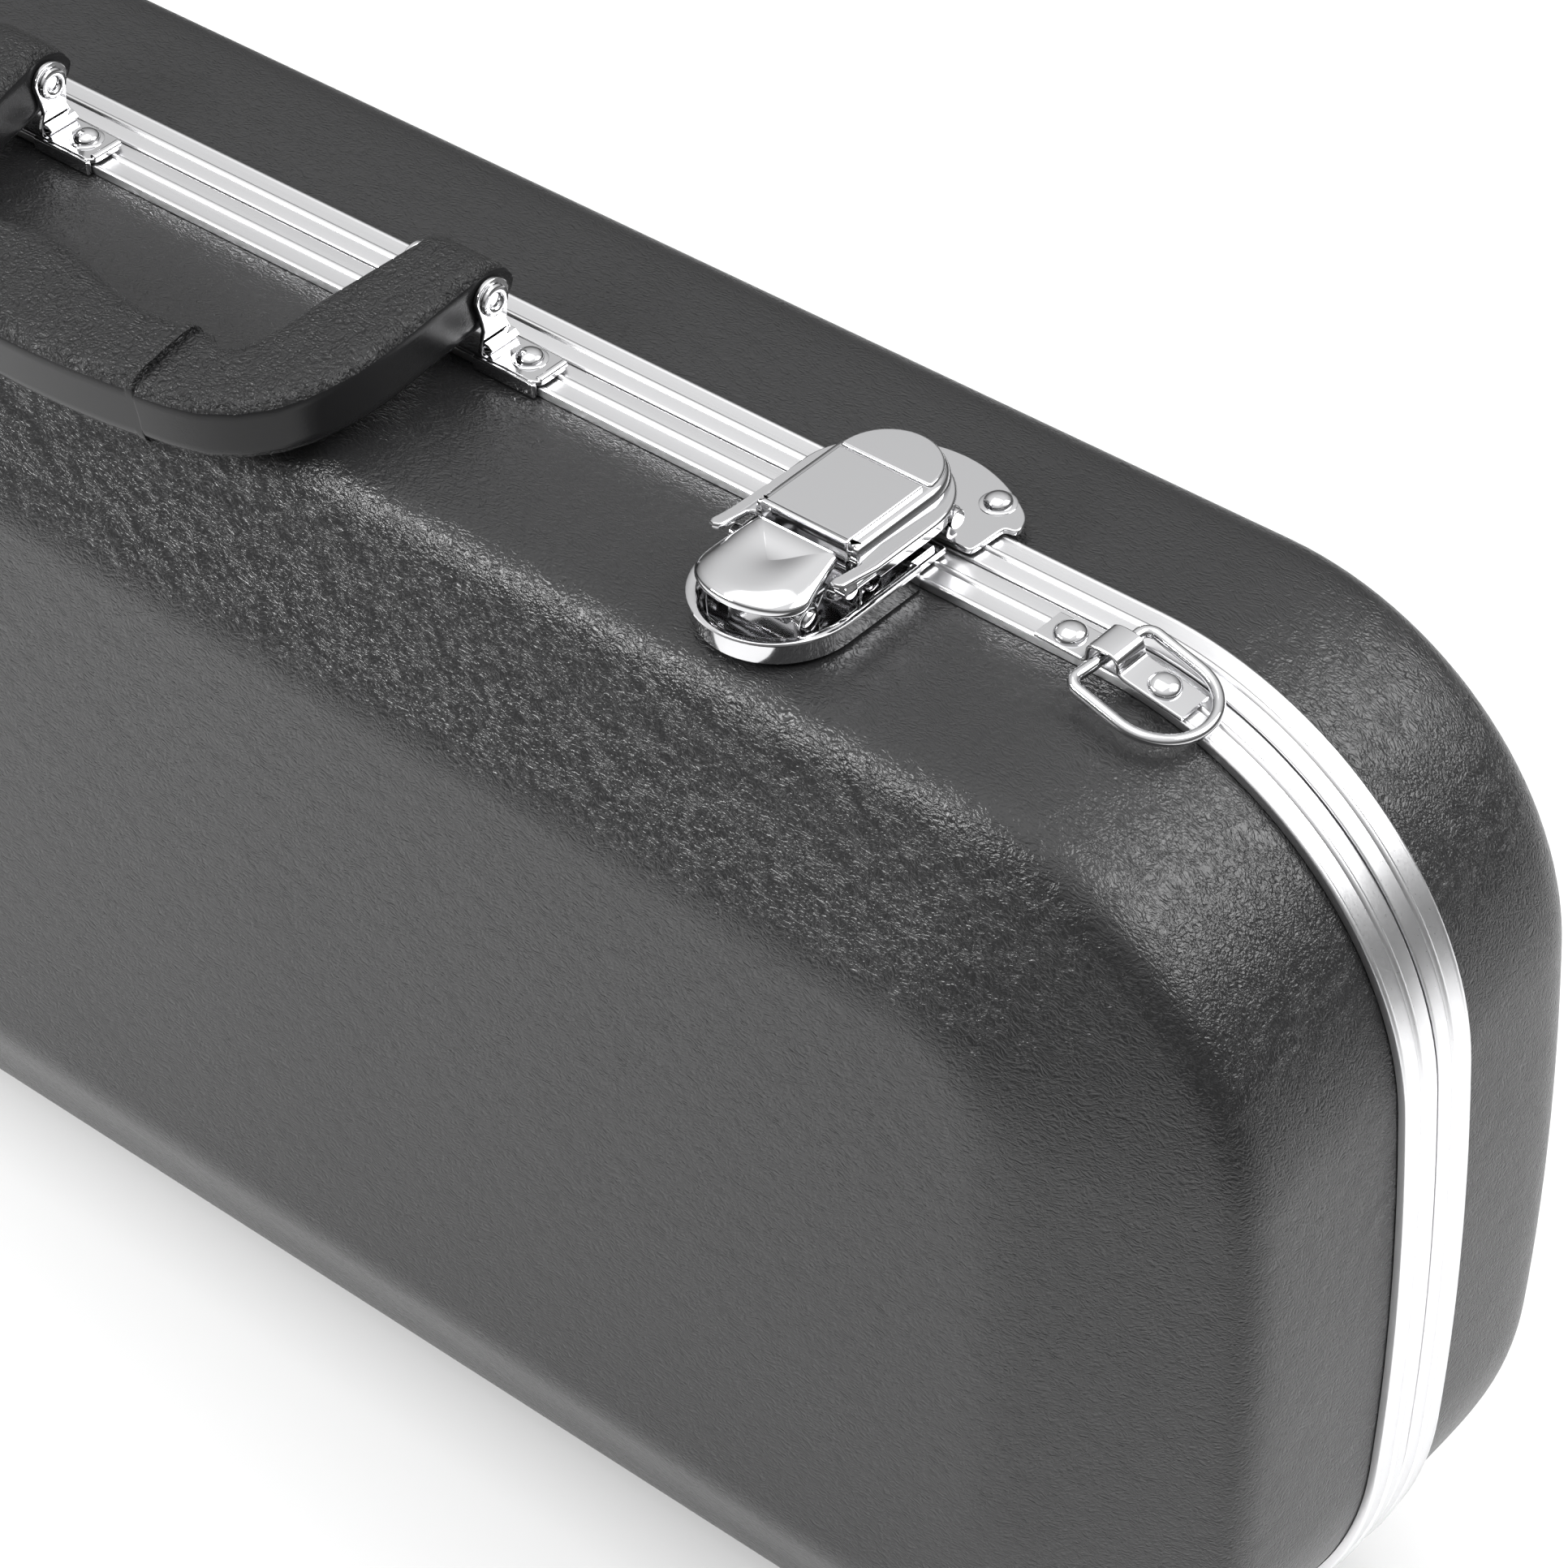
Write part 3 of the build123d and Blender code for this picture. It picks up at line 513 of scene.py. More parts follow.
def grained_plastic(name, color, roughness, scale, depth, strength, specular=0.5):
    """Moulded plastic with a leather grain: thin wandering crests with a finer pebble between."""
    mat, tree, shader = new_material(name, color, roughness, specular=specular)
    vec = warped(tree, object_vector(tree), 160.0, 0.004)
    crest = noise(tree, stretched(tree, vec, scale), 1.0, 2.0, 0.45)
    fold = math_node(tree, "ABSOLUTE", math_node(tree, "SUBTRACT", crest.outputs["Fac"], 0.5))
    ridge = math_node(tree, "MULTIPLY", fold, -5.0)
    pebble = noise(tree, vec, scale[1] * 1.5, 2.0, 0.5)
    height = math_node(tree, "ADD", ridge, pebble.outputs["Fac"])
    bump(tree, shader, height, strength, depth)
    vary = noise(tree, vec, 12.0, 3.0)
    tree.links.new(spread(tree, vary.outputs["Fac"], roughness - 0.05, roughness + 0.05),
                   shader.inputs["Roughness"])
    return mat


def satin_aluminium():
    mat, tree, shader = new_material("satin_aluminium", (0.76, 0.76, 0.77), 0.3, metallic=1.0)
    lines = noise(tree, stretched(tree, object_vector(tree), (5, 1800, 1800)), 1.0)
    bump(tree, shader, lines.outputs["Fac"], 0.1, 0.00004)
    tree.links.new(spread(tree, lines.outputs["Fac"], 0.24, 0.36), shader.inputs["Roughness"])
    return mat


def bright_chrome():
    mat, tree, shader = new_material("bright_chrome", (0.61, 0.61, 0.62), 0.08, metallic=1.0)
    haze = noise(tree, object_vector(tree), 70.0, 4.0)
    tree.links.new(spread(tree, haze.outputs["Fac"], 0.04, 0.13), shader.inputs["Roughness"])
    bump(tree, shader, haze.outputs["Fac"], 0.04, 0.0002)
    return mat


def plush(name, color, pile=1400.0, depth=0.0006):
    mat, tree, shader = new_material(name, color, 0.95, specular=0.15, sheen=0.45)
    vec = object_vector(tree)
    nap = noise(tree, vec, 35.0, 4.0)
    tone = tree.nodes.new("ShaderNodeMix")
    tone.data_type = "RGBA"
    tone.inputs["A"].default_value = (*[c * 0.65 for c in color], 1)
    tone.inputs["B"].default_value = (*[c * 1.45 for c in color], 1)
    tree.links.new(nap.outputs["Fac"], tone.inputs["Factor"])
    tree.links.new(tone.outputs["Result"], shader.inputs["Base Color"])
    bump(tree, shader, noise(tree, vec, pile, 3.0).outputs["Fac"], 0.6, depth)
    return mat


def weave(name, color):
    """Webbing: ribs across a narrow band."""
    mat, tree, shader = new_material(name, color, 0.8, sheen=0.2)
    ribs = tree.nodes.new("ShaderNodeTexWave")
    set_inputs(ribs, {"Scale": 260.0, "Distortion": 0.6})
    tree.links.new(object_vector(tree), ribs.inputs["Vector"])
    bump(tree, shader, ribs.outputs["Fac"], 0.5, 0.0004)
    tree.links.new(spread(tree, ribs.outputs["Fac"], 0.7, 0.9), shader.inputs["Roughness"])
    return mat


ABS = grained_plastic("black_abs", (0.015, 0.015, 0.0155), 0.29, (430, 1050, 1050), 0.00015, 0.75,
                      specular=0.4)
GRIP = grained_plastic("grip_plastic", (0.011, 0.011, 0.0115), 0.42, (620, 760, 760), 0.00034, 1.0,
                       specular=0.38)
GRIP_SIDE = grained_plastic("grip_side_plastic", (0.012, 0.012, 0.0125), 0.24, (1500, 1700, 1700), 0.00002,
                            0.4, specular=0.22)
SATIN = satin_aluminium()
CHROME = bright_chrome()
PLUSH = plush("plush_lining", (0.045, 0.045, 0.05))
RUBBER = grained_plastic("foot_rubber", (0.02, 0.02, 0.02), 0.7, (900, 900, 900), 0.0001, 0.4)
BLACK = grained_plastic("moulded_black", (0.02, 0.02, 0.021), 0.3, (500, 500, 500), 0.00002, 0.3)
WEBBING = weave("webbing", (0.03, 0.03, 0.032))

NODE_MATERIALS = {"base_feet": RUBBER, "lid_feet": RUBBER, "base_valance": SATIN, "lid_valance": SATIN,
                  "base_shell": ABS, "lid_shell": ABS, "handle_grip": GRIP, "neck_strap": WEBBING}
SOFT_NODES = ("liner", "lid_liner", "lid_pad", "neck_cradle", "accessory_box", "side_tray", "accessory_lid",
              "bow_loop")
for node_name, node in frame["nodes"].items():
    chosen = NODE_MATERIALS.get(node_name, CHROME)
    if node_name.startswith("bow_spinner"):
        chosen = BLACK
    if node_name.startswith(SOFT_NODES):
        chosen = PLUSH
    node.data.materials.clear()
    node.data.materials.append(chosen)


# ---- shells and valances ---------------------------------
declare(shell("base_skin", -1, BASE_TOP, BASE_END, ABS), "base", ["base_shell"])
declare(shell("lid_skin", 1, LID_TOP, LID_END, ABS), "lid", ["lid_shell"])

# Section of one edge channel as (outward, depth): a flat band each side of a raised bead.
CHANNEL = ((-3.3, 0.25), (1.5, 0.25), (1.95, 0.42), (2.15, 0.85), (2.15, 4.35), (2.3, 4.45), (2.7, 4.75),
           (2.8, 5.2), (2.7, 5.65), (2.3, 5.95), (2.15, 6.05), (2.15, 9.7), (2.28, 9.9), (2.35, 10.3),
           (2.2, 10.75), (1.7, 11.0), (0.1, 11.0), (0.06, 1.4), (-3.1, 1.4), (-3.1, 7.5), (-4.1, 7.5),
           (-4.1, 0.6), (-3.9, 0.3))


def valance(name, side, body):
    rows = [ring(d, -o, side) for o, d in CHANNEL]
    cols = len(OUT_P)
    faces = grid_faces(len(rows), cols) + closing_faces(len(rows), cols)
    obj = new_mesh(name, [v for row in rows for v in row], faces, SATIN, sharp=50)
    declare(obj, body, [f"{body}_valance"])


valance("base_edge_channel", -1, "base")
valance("lid_edge_channel", 1, "lid")

# ---- handle ----------------------------------------------
HANDLE_X = -250.0
PIVOT_Y = -6.0
PIVOT_Z = 15.2
HANDLE_SEAT = move(HANDLE_X, PIVOT_Y, PIVOT_Z) @ turn(7.0, "X")
ARM_HALF = 8.0
GRIP_END = 41.0
CORNER_OUTER = ((79.8, 31), (79.1, 37.5), (77.6, 43.6), (75.2, 50), (71.8, 55.8), (66, 61.5), (58.6, 65.9),
                (50, 68.2), (42.6, 69.3))
CORNER_INNER = ((54.9, 31), (54.3, 35.5), (53.6, 39.5), (52.6, 43), (51.2, 45.6), (49.6, 47.1), (47.6, 47.7),
                (45.2, 46.9), (43.2, 45.4))


def grip_inner(x):
    """Finger waves along the inner side of the grip."""
    swell = math.sin(2 * math.pi * (x - 8) / 72) if x > -10 else -math.cos(math.pi * (x + 10) / 32)
    return 45.3 + 3.0 * swell


def handle_stations():
    """(outer point, inner point, thickness) once along the handle from one pivot to the other."""
    arm = [((79.9, r), (60.2 - max(r, 0) * 0.19, r), 2 * math.sqrt(max(ARM_HALF ** 2 - min(r, 0) ** 2, 0.02)))
           for r in (-7.97, -7.8, -7.2, -6.2, -4.6, -2.4, 0, 5, 12, 20, 26)]
    corner = [(o, i, 16.2) for o, i in zip(CORNER_OUTER, CORNER_INNER)]
    middle = []
    lip = {41.0: 16.3, 40.85: 19.6, 40.6: 20.0, 40.0: 20.2, 39.4: 20.0, 39.15: 19.6, 39.0: 18.3}
    xs = sorted(list(lip) + [-x for x in lip] + list(np.linspace(-38.4, 38.4, 41)), reverse=True)
    for x in xs:
        outer = 72.7 - 3.5 * (x / GRIP_END) ** 2
        middle.append(((x * 1.03, outer), (x, grip_inner(x)), lip.get(abs(x), 18.3)))
    right = arm + corner
    left = [((-o[0], o[1]), (-i[0], i[1]), t) for o, i, t in reversed(right)]
    return right + middle + left


def handle_mesh():
    skin = Skin(HANDLE_SEAT)
    angles = full_turn(44)
    loops = []
    for outer, inner, thick in handle_stations():
        o, i = np.array(outer, float), np.array(inner, float)
        mid, reach = (o + i) / 2, (o - i) / 2
        loop = []
        for a in angles:
            c, s = math.cos(a), math.sin(a)
            wide = math.copysign(abs(c) ** 0.36, c)
            tall = math.copysign(abs(s) ** 0.4, s)
            seam = 0.985 if abs(s) < 0.05 and c > 0 else 1.0
            spot = mid + reach * wide * seam
            loop.append((spot[0], -spot[1], tall * thick / 2))
        loops.append(loop)
    skin.stack(loops)
    obj = skin.finish("handle_moulding", GRIP, "handle", ["handle_grip"], sharp=42)
    obj.data.materials.append(GRIP_SIDE)
    cols = len(angles)
    for poly in obj.data.polygons:
        turns = {v % cols for v in poly.vertices}
        level = sum(abs(math.sin(angles[t])) for t in turns) / len(turns)
        poly.material_index = 0 if level > 0.42 else 1


handle_mesh()

PLATE_Z = 2.8
ARM_X = 69.8


def bracket(name, x):
    """Pressed bracket: foot plate with a turned end and a folded lip, and two waisted ears."""
    skin = Skin(move(x, 0, 0))
    y = PIVOT_Y
    plan = rounded([(-11.7, y - 5.9), (29.2, y - 5.9), (29.2, y + 4.8), (-11.7, y + 4.8)], [0.8, 3, 3, 0.8])
    skin.plate(plan, PLATE_Z, PLATE_Z + 1.2, 0.5)
    skin.plate(slab(10.2, 28.4, y - 6.6, y - 5.3, 0.5), 0.3, 3.7, 0.5)
    skin.rod((28.3, y - 4.6, PLATE_Z + 1.1), (28.3, y + 3.6, PLATE_Z + 1.1), 0.95)
    skin.ribbon([(11.4, 4.0), (12.6, 4.15), (13.6, 4.6), (14.2, 5.3), (13.4, 5.9), (12.2, 6.0)], 0.9,
                y - 4.4, y + 4.2, "xzy")
    waist = [(4.7, 5.6), (3.5, 8.6), (3.9, 11.4)]
    ear = [(y - 4.9, PLATE_Z + 0.3), (y + 4.9, PLATE_Z + 0.3)] + [(y + v, z) for v, z in waist]
    ear += bend_points(y, PIVOT_Z, 5.1, 12, 168, 14) + [(y + v, z) for v, z in mirrored(waist)]
    skin.cheeks(ear, 10.5, 11.8, 0.35)
    skin.chrome(f"handle_bracket_{name}_plate", "base", f"handle_bracket_{name}")


def pivot(name, x):
    """Tubular rivet that the handle turns on, with a rolled head at each end."""
    skin = Skin(move(x, PIVOT_Y, PIVOT_Z))
    skin.rod((-11.5, 0, 0), (11.5, 0, 0), 2.3)
    head = ((3.8, 0), (3.85, 0.35), (3.6, 0.8), (3.0, 1.05), (2.35, 1.0), (1.9, 0.7), (1.6, 0.2),
            (1.5, -0.4), (0.05, -0.5))
    for side in (-1, 1):
        skin.lathe(head, (side * 11.9, 0, 0), (side, 0, 0))
    skin.chrome(f"handle_pin_{name}_rivet", "base", f"handle_pin_{name}")


rivets = Skin()
for name, x in (("right", HANDLE_X + ARM_X), ("left", HANDLE_X - ARM_X)):
    bracket(name, x)
    pivot(name, x)
    rivets.lathe(WASHER, (x + 21.4, PIVOT_Y, PLATE_Z + 1.2))
    rivets.lathe(RIVET, (x + 21.4, PIVOT_Y, PLATE_Z + 1.5))
rivets.chrome("handle_plate_rivets", "base", "handle_bracket_rivets")

# ---- latches ---------------------------------------------
LATCH_XS = (("right", -62.5), ("left", -433.5))
TRAY_R = 18.2
TRAY_MID_Y = -33.8
TRAY_STOP_Y = -11.9
VALANCE_FACE = 2.86
STRIKE_TOP = 4.15
TAB_Y, TAB_Z = -40.0, 7.5
COVER_Y, COVER_Z = -21.0, 6.0


def tray_line(radius, stop):
    """Counter-clockwise U-shaped plan of the latch tray: round end low, straight end by the valance."""
    low = bend_points(0, TRAY_MID_Y, radius, 180, 360, 32)
    straight = [(radius, stop - 3), (radius, stop), (-radius, stop), (-radius, stop - 3)]
    return low + rounded(straight, 0.01, 1)[2:-2]


def latch_base(name, x):
    """Riveted tray: plinth wall with a flared rim, floor, ears, and a tongue that laps over the valance."""
    skin = Skin(move(x, 0, 0))
    shape = ((0.4, 0.1), (0.1, 0.5), (0.1, 4.7), (-0.15, 5.2), (-0.75, 5.5), (-1.0, 5.85), (-0.9, 6.25),
             (-0.4, 6.45), (0.5, 6.5), (1.2, 6.3), (1.5, 5.7), (1.6, 4.6), (1.7, 2.2), (2.4, 1.5))
    loops = []
    for i, z in shape:
        loops.append([(px, py, z) for px, py in tray_line(TRAY_R - i, TRAY_STOP_Y - max(i, 0) * 0.2)])
    skin.stack(loops)
    skin.plate(slab(-16.6, 16.6, -12.6, -1.4, 0.8), VALANCE_FACE, 4.1, 0.4)
    skin.plate(slab(-15.2, 15.2, -11.4, -3.4, 0.6), 4.0, 5.2, 0.5)
    skin.plate(slab(-16.6, 16.6, -13.0, -11.6, 0.4), 0.4, 6.2, 0.4)
    for y, z in ((TAB_Y, TAB_Z), (COVER_Y, COVER_Z)):
        ear = [(y - 3.4, 1.4), (y + 3.4, 1.4), (y + 3.0, z)]
        skin.cheeks(ear + bend_points(y, z, 3.0, 10, 170, 12) + [(y - 3.0, z)], 11.7, 13.2)
    coil_r = 2.1
    pitch = 1.9
    spring = []
    for t in range(61):
        across, up = coil_r * math.sin(t * pitch), coil_r * math.cos(t * pitch)
        spring.append((-7.5 + t * 0.25, TAB_Y + 9.5 + across, 4.6 + up))
    skin.tube(spring, 0.42, 8)
    skin.chrome(f"latch_base_{name}_tray", "base", f"latch_base_{name}")


def latch_pin(name, node, x, y, z):
    """Latch pin with a domed head at each end."""
    skin = Skin(move(x, y, z))
    half = 13.3
    head = ((2.2, 0), (2.25, 0.3), (1.9, 0.7), (1.1, 0.9), (0.05, 0.95))
    skin.rod((-half, 0, 0), (half, 0, 0), 1.5)
    for side in (-1, 1):
        skin.lathe(head, (side * half, 0, 0), (side, 0, 0), 24)
    skin.chrome(f"{node}_{name}_pin", "base", f"{node}_pin_{name}")


def latch_cover(name, x):
    """Draw plate: round-ended body on a flange with two rails, two raised panels and side links."""
    skin = Skin(move(x, 0, 0))
    end_y = -6.2
    round_end = bend_points(0, end_y, 18.0, 0, 180, 34)
    left_rail = [(-18.0, -24), (-18.0, -30), (-18.0, -34.0), (-17.4, -35.2), (-16.2, -35.6), (-14.9, -35.0),
                 (-14.5, -33.8), (-14.5, -30), (-14.5, -27.0)]
    right_rail = mirrored(left_rail)
    across = [(-13.9, -25.9), (-13.2, -25.5), (13.2, -25.5), (13.9, -25.9)]
    flange = round_end + left_rail + across + right_rail
    edge = ((0.5, 12.2), (0.1, 12.4), (0.0, 12.8), (0.05, 13.1), (0.3, 13.5), (0.7, 13.7))
    skin.stack([[(px, py, z + max(0.0, -24.0 - py) * 0.16) for px, py in inset(flange, i)] for i, z in edge])
    skirt = bend_points(0, end_y, 17.0, -2, 182, 36)
    skin.ribbon([(17.0, -23.0), *skirt, (-17.0, -23.0)], 1.2, 10.0, 13.2, "xyz", edge=0.4)
    square_end = [(-14.0, -8), (-14.0, -25.4), (14.0, -25.4), (14.0, -8)]
    body = bend_points(0, -1.6, 14.0, 0, 180, 34) + rounded(square_end, 0.8)[7:-7]
    wall = ((0.1, 12.8), (0.0, 13.6), (0.1, 14.6), (0.45, 15.7), (0.9, 16.3), (1.6, 16.6), (2.2, 16.65))
    skin.layers(body, wall)
    skin.plate(slab(-11.2, 11.2, -25.0, -1.9, 0.6), 16.2, 17.6, 0.45)
    skin.plate(slab(-11.6, 11.6, -26.1, -24.6, 0.5), 13.0, 17.9, 0.6)
    dome = bend_points(0, -0.6, 12.2, 3, 177, 26) + bend_points(-11.3, -0.1, 0.9, 180, 270, 4)
    dome += bend_points(11.3, -0.1, 0.9, 270, 360, 4)
    shape = ((0.0, 16.0), (0.03, 16.6), (0.15, 16.95), (0.4, 17.2), (0.75, 17.32))
    skin.layers(dome, shape)
    arm = [(COVER_Y - 3.4, 15.2), (COVER_Y - 3.0, COVER_Z)]
    skin.cheeks(arm + bend_points(COVER_Y, COVER_Z, 3.0, 190, 350, 12) + [(COVER_Y + 3.4, 15.2)], 9.0, 10.8)
    for side in (-1, 1):
        middle = side * 14.65
        skin.plate(slab(middle - 1.25, middle + 1.25, -31.5, 4.4, 1.0), 8.6, 10.9, 1.0, 0.9)
        skin.rod((side * 12.7, -29.8, 9.9), (side * 15.9, -29.8, 9.9), 2.0)
        skin.rod((side * 12.7, 1.6, 9.6), (side * 17.2, 1.6, 9.6), 2.2)
    skin.rod((-12.8, 2.6, 9.2), (12.8, 2.6, 9.2), 1.5)
    skin.chrome(f"latch_cover_{name}_plate", f"cover_{name}", f"latch_cover_{name}")


def latch_tab(name, x):
    """Finger tab: a domed shell with a thumb dish, curled edges, a barrel and a web."""
    skin = Skin(move(x, 0, 0))
    half, end_y, top_y, top_half = 13.9, -40.6, -27.6, 10.9
    low = [(half * math.cos(a), end_y + 10.4 * math.sin(a)) for a in np.radians(np.linspace(180, 360, 31))]
    right = [(half - (half - top_half) * t, end_y + (top_y - 1.3 - end_y) * t) for t in (0.2, 0.4, 0.6, 0.8)]
    right += bend_points(top_half - 1.2, top_y - 1.2, 1.2, 0, 90, 4)
    plan = np.array(low + right + mirrored(right))
    focus = np.array([0.0, -37.0])

    def top_height(px, py):
        edge = max(0.0, math.hypot(px / half, max(0.0, end_y - py) / half) - 0.35) / 0.65
        dish = 1.3 * math.exp(-((px / 5.0) ** 2 + ((py + 32.5) / 6.5) ** 2))
        return 15.4 - 2.7 * edge ** 3 - dish + 0.5 * (py + 38) / 10

    def tab_loop(share, drop=0.0):
        """The plan drawn in towards the focus, on the upper surface or below it."""
        spots = [focus + (p - focus) * share for p in plan]
        return [(*spot, top_height(*spot) - drop) for spot in spots]

    under = [tab_loop(share, 2.0) for share in (0.02, 0.3, 0.6, 0.85, 0.92)]
    curl = ((0.93, 2.2), (0.985, 1.9), (1.0, 1.1), (0.995, 0.35), (0.97, 0.0))
    edge = [tab_loop(share, drop) for share, drop in curl]
    top = [tab_loop(share) for share in (0.9, 0.8, 0.7, 0.6, 0.5, 0.4, 0.3, 0.2, 0.1, 0.02)]
    skin.stack(under + edge + top)
    skin.rod((-8.6, TAB_Y, TAB_Z), (8.6, TAB_Y, TAB_Z), 2.7)
    web = rounded([(TAB_Y - 1.4, TAB_Z), (TAB_Y + 1.4, TAB_Z), (TAB_Y + 2.4, 14.2), (TAB_Y - 2.4, 14.2)], 0.4)
    skin.cheeks(web, 6.8, 8.4, 0.2)
    skin.chrome(f"latch_tab_{name}_shell", f"tab_{name}", f"latch_tab_{name}", sharp=45)


def latch_strike(name, x):
    """Catch plate on the lid: shaped plate, packing step below and a curled hook under the draw plate."""
    skin = Skin(move(x, 0, 0))
    right = chaikin([(17.0, 0.3), (20.3, 0.3), (21.3, 1.4), (21.5, 9.4), (22.0, 10.6), (24.2, 10.9),
                     (24.7, 12.6), (22.8, 16.6), (17.8, 19.8), (11.4, 22.8), (5.0, 24.5), (0.4, 24.8)], 2)
    plan = [tuple(p) for p in right] + mirrored(right)
    skin.plate(plan, VALANCE_FACE, STRIKE_TOP, 0.5)
    skin.plate(slab(-13.5, 13.5, 12.0, 21.0, 1.0), 0.35, 3.0, 0.2)
    hook = [(9.0, 4.2), (6.6, 4.3), (5.2, 5.0), (4.5, 6.4), (4.7, 7.6), (5.6, 8.3), (7.0, 8.2)]
    skin.ribbon(chaikin(hook, 2), 1.2, -11.8, 11.8, "yzx")
    skin.chrome(f"latch_strike_{name}_plate", "lid", f"latch_strike_{name}")


strike_rivets = Skin()
tray_rivets = Skin()
for name, x in LATCH_XS:
    latch_base(name, x)
    latch_pin(name, "latch_tab", x, TAB_Y, TAB_Z)
    latch_pin(name, "latch_cover", x, COVER_Y, COVER_Z)
    latch_cover(name, x)
    latch_tab(name, x)
    latch_strike(name, x)
    for side in (-1, 1):
        strike_rivets.lathe(WASHER, (x + side * 15.4, 16.2, STRIKE_TOP))
        strike_rivets.lathe(RIVET, (x + side * 15.4, 16.2, STRIKE_TOP + 0.25))
        tray_rivets.lathe([(r * 0.75, h * 0.7) for r, h in RIVET], (x + side * 6, -24, 1.5))
strike_rivets.chrome("strike_plate_rivets", "lid", "latch_strike_rivets")
tray_rivets.chrome("latch_tray_rivets", "base", "latch_base_rivets")

# ---- strap rings -----------------------------------------
RING_Y = -8.0
CORNER_BEND = 8.6
CLIP_Z = 2.85
RING_Z = 5.75
TAPER_RUN = TAPER_START - NARROW_X
TAPER_DROP = -(MID_Z + NARROW_W / 2)
TAPER_TURN = math.degrees(math.atan2(TAPER_DROP, TAPER_RUN))
RING_X = 2.6
corner_turn = math.degrees(math.asin(RING_X / CORNER_R_TOP))
corner_drop = CORNER_R_TOP * (1 - math.cos(math.radians(corner_turn)))
LEFT_X = -575.0
left_drop = (TAPER_START - LEFT_X) * TAPER_DROP / TAPER_RUN
right_seat = move(RING_X, RING_Y, -corner_drop) @ turn(corner_turn, "Y")
left_seat = move(LEFT_X, RING_Y, -left_drop) @ turn(-TAPER_TURN, "Y") @ turn(180, "Z")
# Each ring's name, seat, bend of the channel under it, and how far it slips and turns from the middle.
RING_SEATS = (("right", right_seat, CORNER_BEND, -1.8, -4.0), ("left", left_seat, 0.0, 0.0, 0.0))


def ring_clip(name, seat, bend):
    """Strap clip: one strip folded up over the ring's straight side, with a riveted tab at each end."""
    skin = Skin(seat)
    rivet_skin = Skin(seat)
    slope = math.radians(bend)
    z = CLIP_Z + 0.55
    lift = 0.5 if bend else 0
    reach = (1.0, 4.0, 8.0, 12.0, 15.6)
    far = [(4.9 + d * math.cos(slope), z + lift - d * math.sin(slope)) for d in reach]
    fold = [(-16.9, z), (-12, z), (-7.5, z), (-4.6, z), (-3.7, z + 0.9), (-3.5, z + 3.4), (-2.6, z + 4.55),
            (0.2, z + 4.75), (3.0, z + 4.55), (4.0, z + 3.4), (4.2, z + 1.0)]
    line = chaikin(fold + far, 2)
    skin.ribbon(line, 1.1, -4.4, 4.4, "xzy", edge=0.45)
    for spot, tilt in (((-11.0, 0, CLIP_Z + 1.05), 0.0),
                       ((4.9 + 8.0 * math.cos(slope), 0, z + 0.95 - 8.0 * math.sin(slope)), slope)):
        axis = (math.sin(tilt), 0, math.cos(tilt))
        rivet_skin.lathe(scaled(WASHER, 0.8), spot, axis)
        rivet_skin.lathe(scaled(RIVET, 1.15), spot, axis)
    skin.chrome(f"ring_clip_{name}_strip", "base", f"ring_clip_{name}", sharp=50)
    rivet_skin.chrome(f"ring_clip_{name}_rivets", "base", f"ring_rivets_{name}")


def strap_ring(name, seat, bend, slip, yaw):
    """D-ring, hanging a little off the middle of its clip by slip and yaw."""
    skin = Skin(seat @ move(0, slip, RING_Z) @ turn(bend + 2.0, "Y") @ turn(yaw, "Z"))
    half = 11.8
    corner_r = 2.8
    path = [(0, v, 0) for v in np.linspace(-half + corner_r, half - corner_r, 12)]
    path += [(px, py, 0) for px, py in bend_points(corner_r, half - corner_r, corner_r, 180, 90, 7)]
    path += [(v, half, 0) for v in (6, 9, 12)]
    path += [(px, py, 0) for px, py in bend_points(14, 0, half, 90, -90, 36)]
    path += [(v, -half, 0) for v in (12, 9, 6)]
    path += [(px, py, 0) for px, py in bend_points(corner_r, -half + corner_r, corner_r, 270, 180, 7)]
    skin.tube(path, 1.35, 18, closed=True)
    skin.chrome(f"d_ring_{name}", f"ring_{name}", f"strap_ring_{name}", sharp=70)


for name, seat, bend, slip, yaw in RING_SEATS:
    ring_clip(name, seat, bend)
    strap_ring(name, seat, bend, slip, yaw)

# ---- interior --------------------------------------------
FOAM_TOP = -8.3
FLOOR_Y = -56.1
FLOOR_R = 5
PAD_T = 9.0
PANEL_Y = 60.2
NECK_X = -430
BOW_LOOP_X = -10
# The violin's hollow: (middle, radius) of its round parts, and half the width of the neck.
LOWER_BOUT = (-38, 107)
UPPER_BOUT = (-278, 86)
SCROLL = (-640, 40)
NECK_HALF = 31.0
BOX_SPAN = (-560.0, -392.0)
BOX_LOW = 42.0
BOX_HIGH = 92.0


def pocket_half_width(x):
    """Half width of the violin-shaped hollow at a point along the case."""
    def circle(cx, radius):
        return math.sqrt(max(radius ** 2 - (x - cx) ** 2, 0.0))
    body = float(np.interp(x, (-279, -278, -160, -38, -37), (0, 80, 66, 98, 0)))
    neck = NECK_HALF if SCROLL[0] < x < UPPER_BOUT[0] else 0.0
    return max(circle(*LOWER_BOUT), circle(*UPPER_BOUT), body, neck, circle(*SCROLL))


